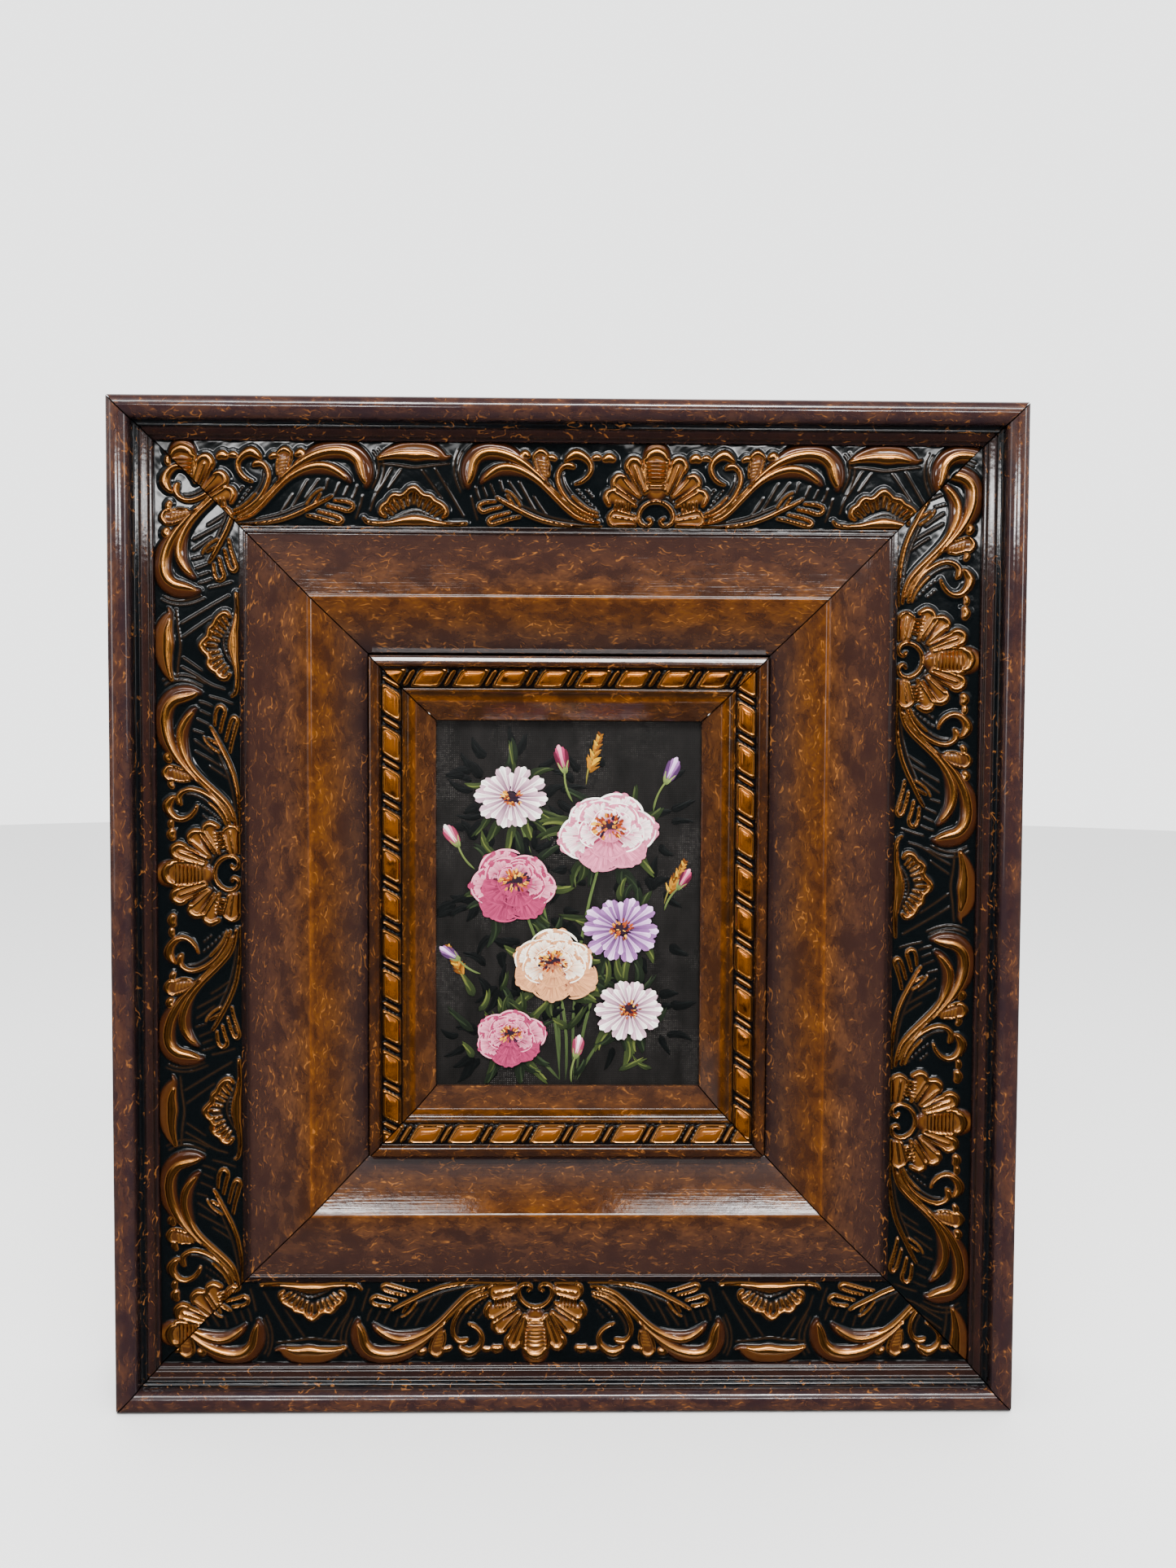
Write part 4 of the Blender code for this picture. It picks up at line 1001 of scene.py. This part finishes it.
def fill(node, inputs):
    """Set a node's inputs: each takes a value, an output of another node, or that node's first output.

    Map Range has its two ranges at 1 to 4, and Mix has its two colours at 6 and 7.
    """
    for socket, value in inputs.items():
        if isinstance(value, bpy.types.Node):
            value = next(output for output in value.outputs if output.enabled)
        if isinstance(value, bpy.types.NodeSocket):
            node.id_data.links.new(value, node.inputs[socket])
        else:
            node.inputs[socket].default_value = value


def add_node(tree, kind, inputs=None, ramp=(), **settings):
    """One node with its settings and links; a ramp is (place, colour) pairs."""
    node = tree.nodes.new("ShaderNode" + kind)
    for name, value in settings.items():
        setattr(node, name, value)
    for place, (position, colour) in enumerate(ramp):
        stops = node.color_ramp.elements
        stop = stops[place] if place < 2 else stops.new(position)
        stop.position = position
        stop.color = colour
    fill(node, inputs or {})
    return node


def every(*sizes):
    """Scale of a pattern that repeats after these lengths in millimetres."""
    return [1 / (size * MM) for size in sizes]


def new_material(name):
    material = bpy.data.materials.new(name)
    material.use_nodes = True
    return material, material.node_tree, material.node_tree.nodes["Principled BSDF"]


def grey(value):
    return (value, value, value, 1.0)


def mottled_lacquer(look):
    """Brown lacquer sponged over wood and polished: soft amber clouds and fine curved amber strokes float
    in a dark red-brown, under a clear coat with a faint ripple. Painted shade takes the colour near black in
    every groove, and a painted reflection greys it towards the lip."""
    material, tree, shader = new_material("mottled_gloss_lacquer_on_wood")
    place = add_node(tree, "Attribute", attribute_name="rail_place").outputs["Vector"]
    inset = add_node(tree, "SeparateXYZ", {0: place}).outputs["Y"]
    share = add_node(tree, "Math", {0: inset, 1: RAIL_WIDTH * MM}, operation="DIVIDE")
    # Both ramps carry painted shade, near black in the grooves, and a painted grey reflection towards the
    # lip
    dark = add_node(tree, "ValToRGB", {0: share},
                    ramp=[(stop / RAIL_WIDTH, linear(code)) for stop, code, _ in LACQUER_SHADE_AND_SHEEN_TONES])
    light = add_node(tree, "ValToRGB", {0: share},
                     ramp=[(stop / RAIL_WIDTH, linear(code)) for stop, _, code in LACQUER_SHADE_AND_SHEEN_TONES])
    warp = add_node(tree, "TexNoise", {"Vector": place, "Scale": 1 / (8 * MM), "Detail": 2.0})
    sway = add_node(tree, "VectorMath", {0: warp.outputs["Color"], 1: (0.5, 0.5, 0.5)}, operation="SUBTRACT")
    sway = add_node(tree, "VectorMath", {0: sway, "Scale": 6 * MM}, operation="SCALE")
    bent = add_node(tree, "VectorMath", {0: place, 1: sway}, operation="ADD")
    # Clouds 9 mm wide, drawn out a little along the rail, and broken up by 2 mm ones
    cloud = add_node(tree, "Mapping", {"Vector": bent, "Scale": every(13, 8, 8)})
    cloud = add_node(tree, "TexNoise", {"Vector": cloud, "Scale": 1.0, "Detail": 5.0, "Roughness": 0.62})
    cloud = add_node(tree, "MapRange", {0: cloud, 1: 0.32, 2: 0.72}, interpolation_type="SMOOTHSTEP")
    dab = add_node(tree, "Mapping", {
        "Vector": bent, "Rotation": (0, 0, math.radians(-32)), "Scale": every(3.4, 1.5, 3)})
    dab = add_node(tree, "TexNoise", {"Vector": dab, "Scale": 1.0, "Detail": 3.0, "Roughness": 0.6})
    dab = add_node(tree, "MapRange", {0: dab, 1: 0.36, 2: 0.7, 3: 0.45, 4: 1.25})
    cloud = add_node(tree, "Math", {0: cloud, 1: dab}, operation="MULTIPLY", use_clamp=True)
    colour = add_node(tree, "Mix", {0: cloud, 6: dark, 7: light}, data_type="RGBA")
    # Hair-fine strokes 4 to 8 mm long; they are drawn 0.5 mm wide so that they show
    stroke = 0.0
    for turn, shift in ((-38, 0.0), (28, 0.41), (-12, 0.83)):
        lean = add_node(tree, "Mapping", {
            "Vector": bent, "Location": (shift, shift, 0), "Rotation": (0, 0, math.radians(turn)),
            "Scale": every(9, 3.2, 9)})
        off = add_node(tree, "TexNoise", {"Vector": lean, "Scale": 1.0, "Detail": 0.0})
        off = add_node(tree, "Math", {0: off, 1: 0.56}, operation="SUBTRACT")
        off = add_node(tree, "Math", {0: off}, operation="ABSOLUTE")
        line = add_node(tree, "MapRange", {0: off, 1: 0.004, 2: 0.025, 3: 1.0, 4: 0.0})
        part = add_node(tree, "TexNoise", {"Vector": lean, "Scale": 1.9, "Detail": 1.0})
        part = add_node(tree, "MapRange", {0: part, 1: 0.54, 2: 0.62})
        short = add_node(tree, "Math", {0: line, 1: part}, operation="MULTIPLY")
        stroke = add_node(tree, "Math", {0: stroke, 1: short}, operation="MAXIMUM")
    near_cloud = add_node(tree, "MapRange", {0: cloud, 1: 0.12, 2: 0.6, 3: 0.02, 4: 0.9})
    stroke = add_node(tree, "Math", {0: stroke, 1: near_cloud}, operation="MULTIPLY")
    bright = add_node(tree, "Mix", {0: 0.6, 6: light, 7: look.lacquer_amber[:]}, data_type="RGBA")
    colour = add_node(tree, "Mix", {0: stroke, 6: colour, 7: bright}, data_type="RGBA")
    ripple = add_node(tree, "TexNoise", {"Vector": place, "Scale": 1 / (2.5 * MM), "Detail": 3.0})
    lines = add_node(tree, "Mapping", {"Vector": place, "Scale": every(40, 0.7, 1000)})
    lines = add_node(tree, "TexNoise", {"Vector": lines, "Scale": 1.0, "Detail": 3.0})
    relief = add_node(tree, "Math", {0: ripple, 1: lines}, operation="ADD")
    bump = add_node(tree, "Bump", {"Height": relief, "Strength": 0.5, "Distance": 0.05 * MM})
    fill(shader, {
        "Base Color": colour, "Roughness": 0.4, "Specular IOR Level": 0.0, "Normal": bump,
        "Coat Weight": 1.0, "Coat Roughness": look.gloss, "Coat IOR": 1.5, "Coat Normal": bump})
    return material


def rubbed_lacquer(name, look, ground, body, metal, body_metal, coat):
    """Black lacquer over carving, its crests rubbed with bronze powder and coated clear: warm metal lines
    shine out of a wet black, and wear thins them unevenly. body_metal is how metallic the flanks are."""
    material, tree, shader = new_material(name)
    place = add_node(tree, "Attribute", attribute_name="rail_place").outputs["Vector"]
    copper = add_node(tree, "Attribute", attribute_name="copper").outputs["Fac"]
    flank = add_node(tree, "Attribute", attribute_name="body").outputs["Fac"]
    wear = add_node(tree, "TexNoise", {
        "Vector": place, "Scale": 1 / (2.2 * MM), "Detail": 4.0, "Roughness": 0.65})
    wear = add_node(tree, "MapRange", {0: wear, 1: 0.3, 2: 0.62, 3: 0.65, 4: 1.0})
    copper = add_node(tree, "Math", {0: copper, 1: wear}, operation="MULTIPLY")
    smoke = add_node(tree, "TexNoise", {"Vector": place, "Scale": 1 / (6 * MM), "Detail": 3.0})
    smoke = add_node(tree, "MapRange", {0: smoke, 1: 0.35, 2: 0.65, 3: 0.6, 4: 1.0})
    flank = add_node(tree, "Math", {0: flank, 1: smoke}, operation="MULTIPLY")
    under = add_node(tree, "Mix", {0: flank, 6: ground, 7: body}, data_type="RGBA")
    colour = add_node(tree, "Mix", {0: copper, 6: under, 7: metal}, data_type="RGBA")
    lustre = add_node(tree, "Math", {0: flank, 1: body_metal}, operation="MULTIPLY")
    rubbed = add_node(tree, "MapRange", {0: copper, 1: 0.05, 2: 0.4})
    lustre = add_node(tree, "Math", {0: lustre, 1: rubbed}, operation="MAXIMUM")
    grain = add_node(tree, "TexNoise", {"Vector": place, "Scale": 1 / (0.9 * MM), "Detail": 3.0})
    bump = add_node(tree, "Bump", {"Height": grain, "Strength": 0.3, "Distance": 0.02 * MM})
    fill(shader, {
        "Base Color": colour, "Metallic": lustre, "Roughness": 0.25, "Specular IOR Level": 0.0,
        "Normal": bump, "Coat Weight": coat, "Coat Roughness": look.gloss})
    return material


def bare_pine():
    """Sawn pine, only sealed: pale yellow-brown with soft grain along the rail."""
    material, tree, shader = new_material("sawn_pine_back")
    place = add_node(tree, "Attribute", attribute_name="rail_place").outputs["Vector"]
    grain = add_node(tree, "Mapping", {"Vector": place, "Scale": every(60, 2.2, 2.2)})
    grain = add_node(tree, "TexNoise", {"Vector": grain, "Scale": 1.0, "Detail": 4.0, "Distortion": 0.6})
    colour = add_node(tree, "ValToRGB", {0: grain}, ramp=[
        (0.3, linear("#8d6a43")), (0.5, linear("#b08b5e")), (0.68, linear("#c7a678"))])
    bump = add_node(tree, "Bump", {"Height": grain, "Strength": 0.4, "Distance": 0.15 * MM})
    fill(shader, {"Base Color": colour, "Roughness": 0.72, "Normal": bump})
    return material


def stained_joint():
    """Sawn ends brushed with black stain before the corner is glued: a dull dark line where rails meet."""
    material, _, shader = new_material("black_stained_sawn_end")
    fill(shader, {"Base Color": linear("#0b0706"), "Roughness": 0.85, "Specular IOR Level": 0.1})
    return material


def painted_canvas(picture):
    """Oil ground brushed over primed cotton canvas: dark grey-brown, the weave's small glints painted
    in as pale specks.
    """
    material, tree, shader = new_material("oil_ground_on_cotton_canvas")
    place = add_node(tree, "TexCoord").outputs["Object"]
    # Real threads are 0.5 mm apart; they are drawn 0.9 mm apart so that they show
    weave = {"Vector": place, "Scale": math.tau / 20 / (0.9 * MM), "Distortion": 1.2, "Detail": 1.0,
             "Detail Scale": 30.0}
    warp = add_node(tree, "TexWave", weave, bands_direction="X")
    weft = add_node(tree, "TexWave", {**weave, "Phase Offset": 1.6}, bands_direction="Z")
    threads = add_node(tree, "Math", {0: warp.outputs["Fac"], 1: weft.outputs["Fac"]}, operation="MULTIPLY")
    sweep = add_node(tree, "Mapping", {
        "Vector": place, "Rotation": (0, 0.5, 0), "Scale": every(9, 1000, 26)})
    sweep = add_node(tree, "TexNoise", {"Vector": sweep, "Scale": 1.0, "Detail": 5.0, "Roughness": 0.6})
    deep = add_node(tree, "MapRange", {0: sweep, 1: 0.35, 2: 0.7})
    base = add_node(tree, "Mix", {0: deep, 6: linear("#0d0c0b"), 7: picture.ground[:]}, data_type="RGBA")
    fine = add_node(tree, "TexNoise", {"Vector": place, "Scale": 1 / (1.4 * MM), "Detail": 2.0})
    # Painted highlight: pale grey specks mixed into the colour where the threads and a fine noise peak, in
    # patches
    painted_glint = add_node(tree, "Math", {0: threads, 1: fine}, operation="MULTIPLY")
    painted_glint = add_node(tree, "MapRange", {0: painted_glint, 1: 0.34, 2: 0.56, 4: 0.9})
    patch = add_node(tree, "TexNoise", {"Vector": place, "Scale": 1 / (30 * MM), "Detail": 2.0})
    patch = add_node(tree, "MapRange", {0: patch, 1: 0.48, 2: 0.62})
    painted_glint = add_node(tree, "Math", {0: painted_glint, 1: patch}, operation="MULTIPLY")
    colour = add_node(tree, "Mix", {0: painted_glint, 6: base, 7: linear("#5c5854")}, data_type="RGBA")
    bump = add_node(tree, "Bump", {"Height": threads, "Strength": 0.55, "Distance": 0.12 * MM})
    fill(shader, {"Base Color": colour, "Roughness": 0.5, "Specular IOR Level": 0.08, "Normal": bump})
    return material


def oil_paint():
    """Oil colour laid with a bristle brush: streaks of slightly different tone run along each stroke and
    catch the light on their ridges."""
    material, tree, shader = new_material("brushed_oil_paint")
    paint = add_node(tree, "Attribute", attribute_name="paint").outputs["Color"]
    place = add_node(tree, "Attribute", attribute_name="stroke_place").outputs["Vector"]
    bristle = add_node(tree, "Mapping", {"Vector": place, "Scale": every(7, 0.42, 1)})
    bristle = add_node(tree, "TexNoise", {"Vector": bristle, "Scale": 1.0, "Detail": 2.0, "Roughness": 0.6})
    tone = add_node(tree, "MapRange", {0: bristle, 1: 0.3, 2: 0.7, 3: 0.62, 4: 1.12})
    colour = add_node(tree, "VectorMath", {0: paint, "Scale": tone}, operation="SCALE")
    bump = add_node(tree, "Bump", {"Height": bristle, "Strength": 0.6, "Distance": 0.2 * MM})
    fill(shader, {"Base Color": colour, "Roughness": 0.45, "Specular IOR Level": 0.12, "Normal": bump})
    return material


def grey_card():
    """Pressed card behind the canvas: dull warm grey with short fibres."""
    material, tree, shader = new_material("pressed_grey_card")
    place = add_node(tree, "TexCoord").outputs["Object"]
    fibre = add_node(tree, "TexNoise", {
        "Vector": place, "Scale": 1 / (1.2 * MM), "Detail": 5.0, "Roughness": 0.7})
    colour = add_node(tree, "ValToRGB", {0: fibre}, ramp=[
        (0.35, linear("#7d766b")), (0.65, linear("#a09889"))])
    bump = add_node(tree, "Bump", {"Height": fibre, "Strength": 0.2, "Distance": 0.1 * MM})
    fill(shader, {"Base Color": colour, "Roughness": 0.85, "Normal": bump})
    return material


def brassed_steel():
    """Pressed steel with a thin brass wash: soft yellow metal, lightly tumbled."""
    material, tree, shader = new_material("brass_washed_steel")
    place = add_node(tree, "TexCoord").outputs["Object"]
    scuff = add_node(tree, "TexNoise", {"Vector": place, "Scale": 1 / (0.8 * MM), "Detail": 4.0})
    colour = add_node(tree, "ValToRGB", {0: scuff}, ramp=[
        (0.3, linear("#8f7238")), (0.7, linear("#c2a35c"))])
    rough = add_node(tree, "MapRange", {0: scuff, 3: 0.25, 4: 0.45})
    bump = add_node(tree, "Bump", {"Height": scuff, "Strength": 0.1, "Distance": 0.05 * MM})
    fill(shader, {"Base Color": colour, "Metallic": 1.0, "Roughness": rough, "Normal": bump})
    return material


def pale_floor():
    """Matt white painted boards, too smooth to show a grain."""
    material, _, shader = new_material("matt_white_floor")
    fill(shader, {"Base Color": linear("#e9e9e8"), "Roughness": 0.6})
    return material


def shared(name, make, *settings):
    """A material that several pieces use, made once."""
    found = bpy.data.materials.get(name)
    return found if found else make(*settings)


def dress_rails(look, which, section, slot):
    """The four rails of one moulding: lacquered in front, bare behind and stained where they are sawn."""
    finishes = (shared("mottled_gloss_lacquer_on_wood", mottled_lacquer, look),
                shared("sawn_pine_back", bare_pine), shared("black_stained_sawn_end", stained_joint))
    for side in SIDES:
        name = which + "_moulding_" + side
        piece = add_piece(name, moulding_mesh(name, side, section), slot, *finishes)
        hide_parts(which + "_rail_" + side)


# Operators

class FRAMEDPAINTING_OT_outer_mouldings(bpy.types.Operator):
    """Draw out and mitre the four rails of the wide moulding"""
    bl_idname = "framed_painting.outer_mouldings"
    bl_label = "Outer Mouldings"

    def execute(self, context):
        dress_rails(context.scene.framed_painting_finish, "outer", outer_section(), "lacquered_wood")
        return {"FINISHED"}


class FRAMEDPAINTING_OT_carved_bands(bpy.types.Operator):
    """Carve the shell, scroll, leaf and fan band of each wide rail"""
    bl_idname = "framed_painting.carved_bands"
    bl_label = "Carved Bands"

    def execute(self, context):
        look = context.scene.framed_painting_finish
        relief = context.scene.framed_painting_relief
        finish = rubbed_lacquer("copper_rubbed_black_lacquer", look, look.carving_black[:],
                                linear("#42210d"), look.copper[:], body_metal=0.6, coat=0.5)
        sheets = {share: draw_carving(share) for share in sorted(set(VEIN_HEIGHT.values()))}
        for side in SIDES:
            name = "carved_band_" + side
            surface = carved_surface(sheets[VEIN_HEIGHT[side]], side, relief.carving_height)
            mesh = relief_mesh(name, side, BAND_START, BAND_END, relief.band_grid, surface)
            add_piece(name, mesh, "lacquered_wood", finish)
        return {"FINISHED"}


class FRAMEDPAINTING_OT_inner_mouldings(bpy.types.Operator):
    """Draw out and mitre the four rails of the slim moulding"""
    bl_idname = "framed_painting.inner_mouldings"
    bl_label = "Inner Mouldings"

    def execute(self, context):
        dress_rails(context.scene.framed_painting_finish, "inner", inner_section(), "inner_lacquered_wood")
        return {"FINISHED"}


class FRAMEDPAINTING_OT_rope_bands(bpy.types.Operator):
    """Carve the band of slanted lozenges of each slim rail"""
    bl_idname = "framed_painting.rope_bands"
    bl_label = "Rope Bands"

    def execute(self, context):
        look = context.scene.framed_painting_finish
        relief = context.scene.framed_painting_relief
        finish = rubbed_lacquer("gold_rubbed_black_lacquer", look, linear("#070505"), look.rope_gold[:],
                                linear("#bd7c38"), body_metal=1.0, coat=0.25)
        for side in SIDES:
            name = "rope_band_" + side
            mesh = relief_mesh(name, side, ROPE_START, ROPE_END, relief.rope_grid, rope_surface(side))
            add_piece(name, mesh, "inner_lacquered_wood", finish)
        return {"FINISHED"}


class FRAMEDPAINTING_OT_board(bpy.types.Operator):
    """Make the canvas board in the inner rabbet"""
    bl_idname = "framed_painting.board"
    bl_label = "Canvas Board"

    def execute(self, context):
        low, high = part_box("canvas_board")
        bm = bmesh.new()
        whole = Matrix.Translation((low + high) / 2) @ Matrix.Diagonal((*(high - low), 1))
        bmesh.ops.create_cube(bm, size=1, matrix=whole)
        bmesh.ops.bevel(bm, geom=bm.edges[:], offset=0.4 * MM, affect="EDGES", segments=2, profile=0.5,
                        material=-1)
        for face in bm.faces:
            face.material_index = 0 if face.normal.y < -0.5 else 1
        mesh = finished("painted_board", bm)
        picture = context.scene.framed_painting_picture
        board = add_piece("painted_board", mesh, "painted_canvas", painted_canvas(picture), grey_card())
        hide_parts("canvas_board")
        return {"FINISHED"}


class FRAMEDPAINTING_OT_painting(bpy.types.Operator):
    """Paint a bouquet on the board, stroke by stroke"""
    bl_idname = "framed_painting.painting"
    bl_label = "Painting"

    def execute(self, context):
        picture = context.scene.framed_painting_picture
        paint = oil_paint()
        lift = FIRST_LIFT
        for name, lay in (("painted_leaves", paint_greens), ("painted_blooms", paint_blooms)):
            brush = Brush(picture.seed, picture.paint_body, lift)
            lay(brush)
            lift = brush.lift
            mesh = brush.mesh(name, (0, FRAME_HEIGHT / MM / 2), BOARD_FACE)
            add_piece(name, mesh, "painted_canvas", paint)
        return {"FINISHED"}


class FRAMEDPAINTING_OT_hanger(bpy.types.Operator):
    """Finish the sawtooth hanger on the back"""
    bl_idname = "framed_painting.hanger"
    bl_label = "Hanger"

    def execute(self, context):
        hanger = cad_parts["sawtooth_hanger"]
        hanger.data.materials.clear()
        hanger.data.materials.append(brassed_steel())
        return {"FINISHED"}


class FRAMEDPAINTING_OT_stage(bpy.types.Operator):
    """Set up the floor, the lights and the camera"""
    bl_idname = "framed_painting.stage"
    bl_label = "Stage"

    def execute(self, context):
        scene = context.scene
        stage = scene.framed_painting_stage
        bm = bmesh.new()
        bmesh.ops.create_circle(bm, cap_ends=True, segments=96, radius=4.0)
        floor = place_in_scene("floor", finished("floor", bm))
        floor.data.materials.append(pale_floor())
        floor.visible_glossy = False

        # Panels as a white room would show them in the lacquer: name, place, aim, size, brightness
        panels = (
            ("overhead_softbox", (0.05, -1.0, 1.35), (0, 0, 0.23), (1.5, 0.26), stage.key_glow),
            ("left_window", (-0.56, -1.9, 0.77), (-0.56, 0, 0.77), (0.62, 0.15), stage.key_glow * 0.75),
            ("right_window", (0.52, -1.9, 0.77), (0.52, 0, 0.77), (0.74, 0.15), stage.key_glow * 0.85),
            ("left_wall", (-1.7, -0.7, 0.55), (0, 0, 0.25), (0.5, 1.0), stage.key_glow * 0.08),
            ("right_wall", (1.7, -0.8, 0.75), (0, 0, 0.3), (0.4, 0.9), stage.key_glow * 0.14),
        )
        # Each is three panels of these shares at one place, so that its reflection fades out at the edges
        shares = (0.5, 0.8, 1.1)
        for name, place, aim, size, glow in panels:
            turn = (Vector(aim) - Vector(place)).to_track_quat("-Z", "Y").to_euler()
            for share in shares:
                data = bpy.data.lights.new(name, "AREA")
                data.shape = "RECTANGLE"
                data.size, data.size_y = size[0] * share, size[1] * share
                data.energy = math.pi * glow * size[0] * size[1] / len(shares)
                place_in_scene(name, data, place, turn).visible_camera = False

        # Light from a wide ceiling, which the lacquer doesn't show
        data = bpy.data.lights.new("ceiling", "SUN")
        data.energy = stage.ceiling
        data.angle = math.radians(70)
        place_in_scene("ceiling", data).visible_glossy = False

        # The room is pale where it is seen. Elsewhere a bright band lies high all round, and it is dark
        # round the camera, so that the lacquer stays dark from in front
        world = bpy.data.worlds.new("room")
        world.use_nodes = True
        tree = world.node_tree
        ways = add_node(tree, "SeparateXYZ", {0: add_node(tree, "TexCoord").outputs["Generated"]})
        front = add_node(tree, "MapRange", {0: ways.outputs["Y"], 1: -0.95, 2: -0.78, 3: 0.06, 4: 1.0},
                         interpolation_type="SMOOTHSTEP")
        above = add_node(tree, "ValToRGB", {0: ways.outputs["Z"]}, ramp=[
            (0.1, grey(0.07)), (0.5, grey(1.0)), (0.8, grey(1.0)), (0.93, grey(0.1))])
        shade = add_node(tree, "Math", {0: front, 1: above}, operation="MULTIPLY")
        shade = add_node(tree, "Math", {0: shade, 1: stage.overhead}, operation="MULTIPLY")
        room = tree.nodes["Background"]
        fill(room, {"Color": linear("#e6e8ea"), "Strength": shade})
        paper = add_node(tree, "Background", {"Color": linear("#e2e3e3"), "Strength": stage.paper})
        seen = add_node(tree, "LightPath").outputs["Is Camera Ray"]
        mixed = add_node(tree, "MixShader", {0: seen, 1: room, 2: paper})
        fill(tree.nodes["World Output"], {"Surface": mixed})
        scene.world = world

        data = bpy.data.cameras.new("camera")
        data.sensor_fit = "VERTICAL"
        data.sensor_height = 36.0
        data.lens = stage.lens
        scene.camera = place_in_scene("camera", data, stage.camera_place, stage.camera_turn)
        return {"FINISHED"}


class FRAMEDPAINTING_PT_sidebar(bpy.types.Panel):
    """Lists the steps that dress the framed painting"""
    bl_idname = "FRAMEDPAINTING_PT_sidebar"
    bl_label = "Framed Painting"
    bl_space_type = "VIEW_3D"
    bl_region_type = "UI"
    bl_category = "Framed Painting"

    def draw(self, context):
        scene = context.scene
        groups = (scene.framed_painting_finish, scene.framed_painting_relief, scene.framed_painting_picture,
                  scene.framed_painting_stage)
        for group in groups:
            box = self.layout.box()
            for name in group.__annotations__:
                box.prop(group, name)
        for operator in OPERATORS:
            self.layout.operator(operator.bl_idname)


GROUPS = {
    "framed_painting_finish": FramedPaintingFinish,
    "framed_painting_relief": FramedPaintingRelief,
    "framed_painting_picture": FramedPaintingPicture,
    "framed_painting_stage": FramedPaintingStage,
}
OPERATORS = (
    FRAMEDPAINTING_OT_outer_mouldings,
    FRAMEDPAINTING_OT_carved_bands,
    FRAMEDPAINTING_OT_inner_mouldings,
    FRAMEDPAINTING_OT_rope_bands,
    FRAMEDPAINTING_OT_board,
    FRAMEDPAINTING_OT_painting,
    FRAMEDPAINTING_OT_hanger,
    FRAMEDPAINTING_OT_stage,
)
CLASSES = (*GROUPS.values(), *OPERATORS, FRAMEDPAINTING_PT_sidebar)


def register():
    for cls in CLASSES:
        bpy.utils.register_class(cls)
    for name, group in GROUPS.items():
        setattr(bpy.types.Scene, name, PointerProperty(type=group))


def unregister():
    for name in GROUPS:
        delattr(bpy.types.Scene, name)
    for cls in reversed(CLASSES):
        bpy.utils.unregister_class(cls)


def main():
    register()
    bpy.ops.framed_painting.outer_mouldings()
    bpy.ops.framed_painting.carved_bands()
    bpy.ops.framed_painting.inner_mouldings()
    bpy.ops.framed_painting.rope_bands()
    bpy.ops.framed_painting.board()
    bpy.ops.framed_painting.painting()
    bpy.ops.framed_painting.hanger()
    bpy.ops.framed_painting.stage()


if __name__ == "__main__":
    main()
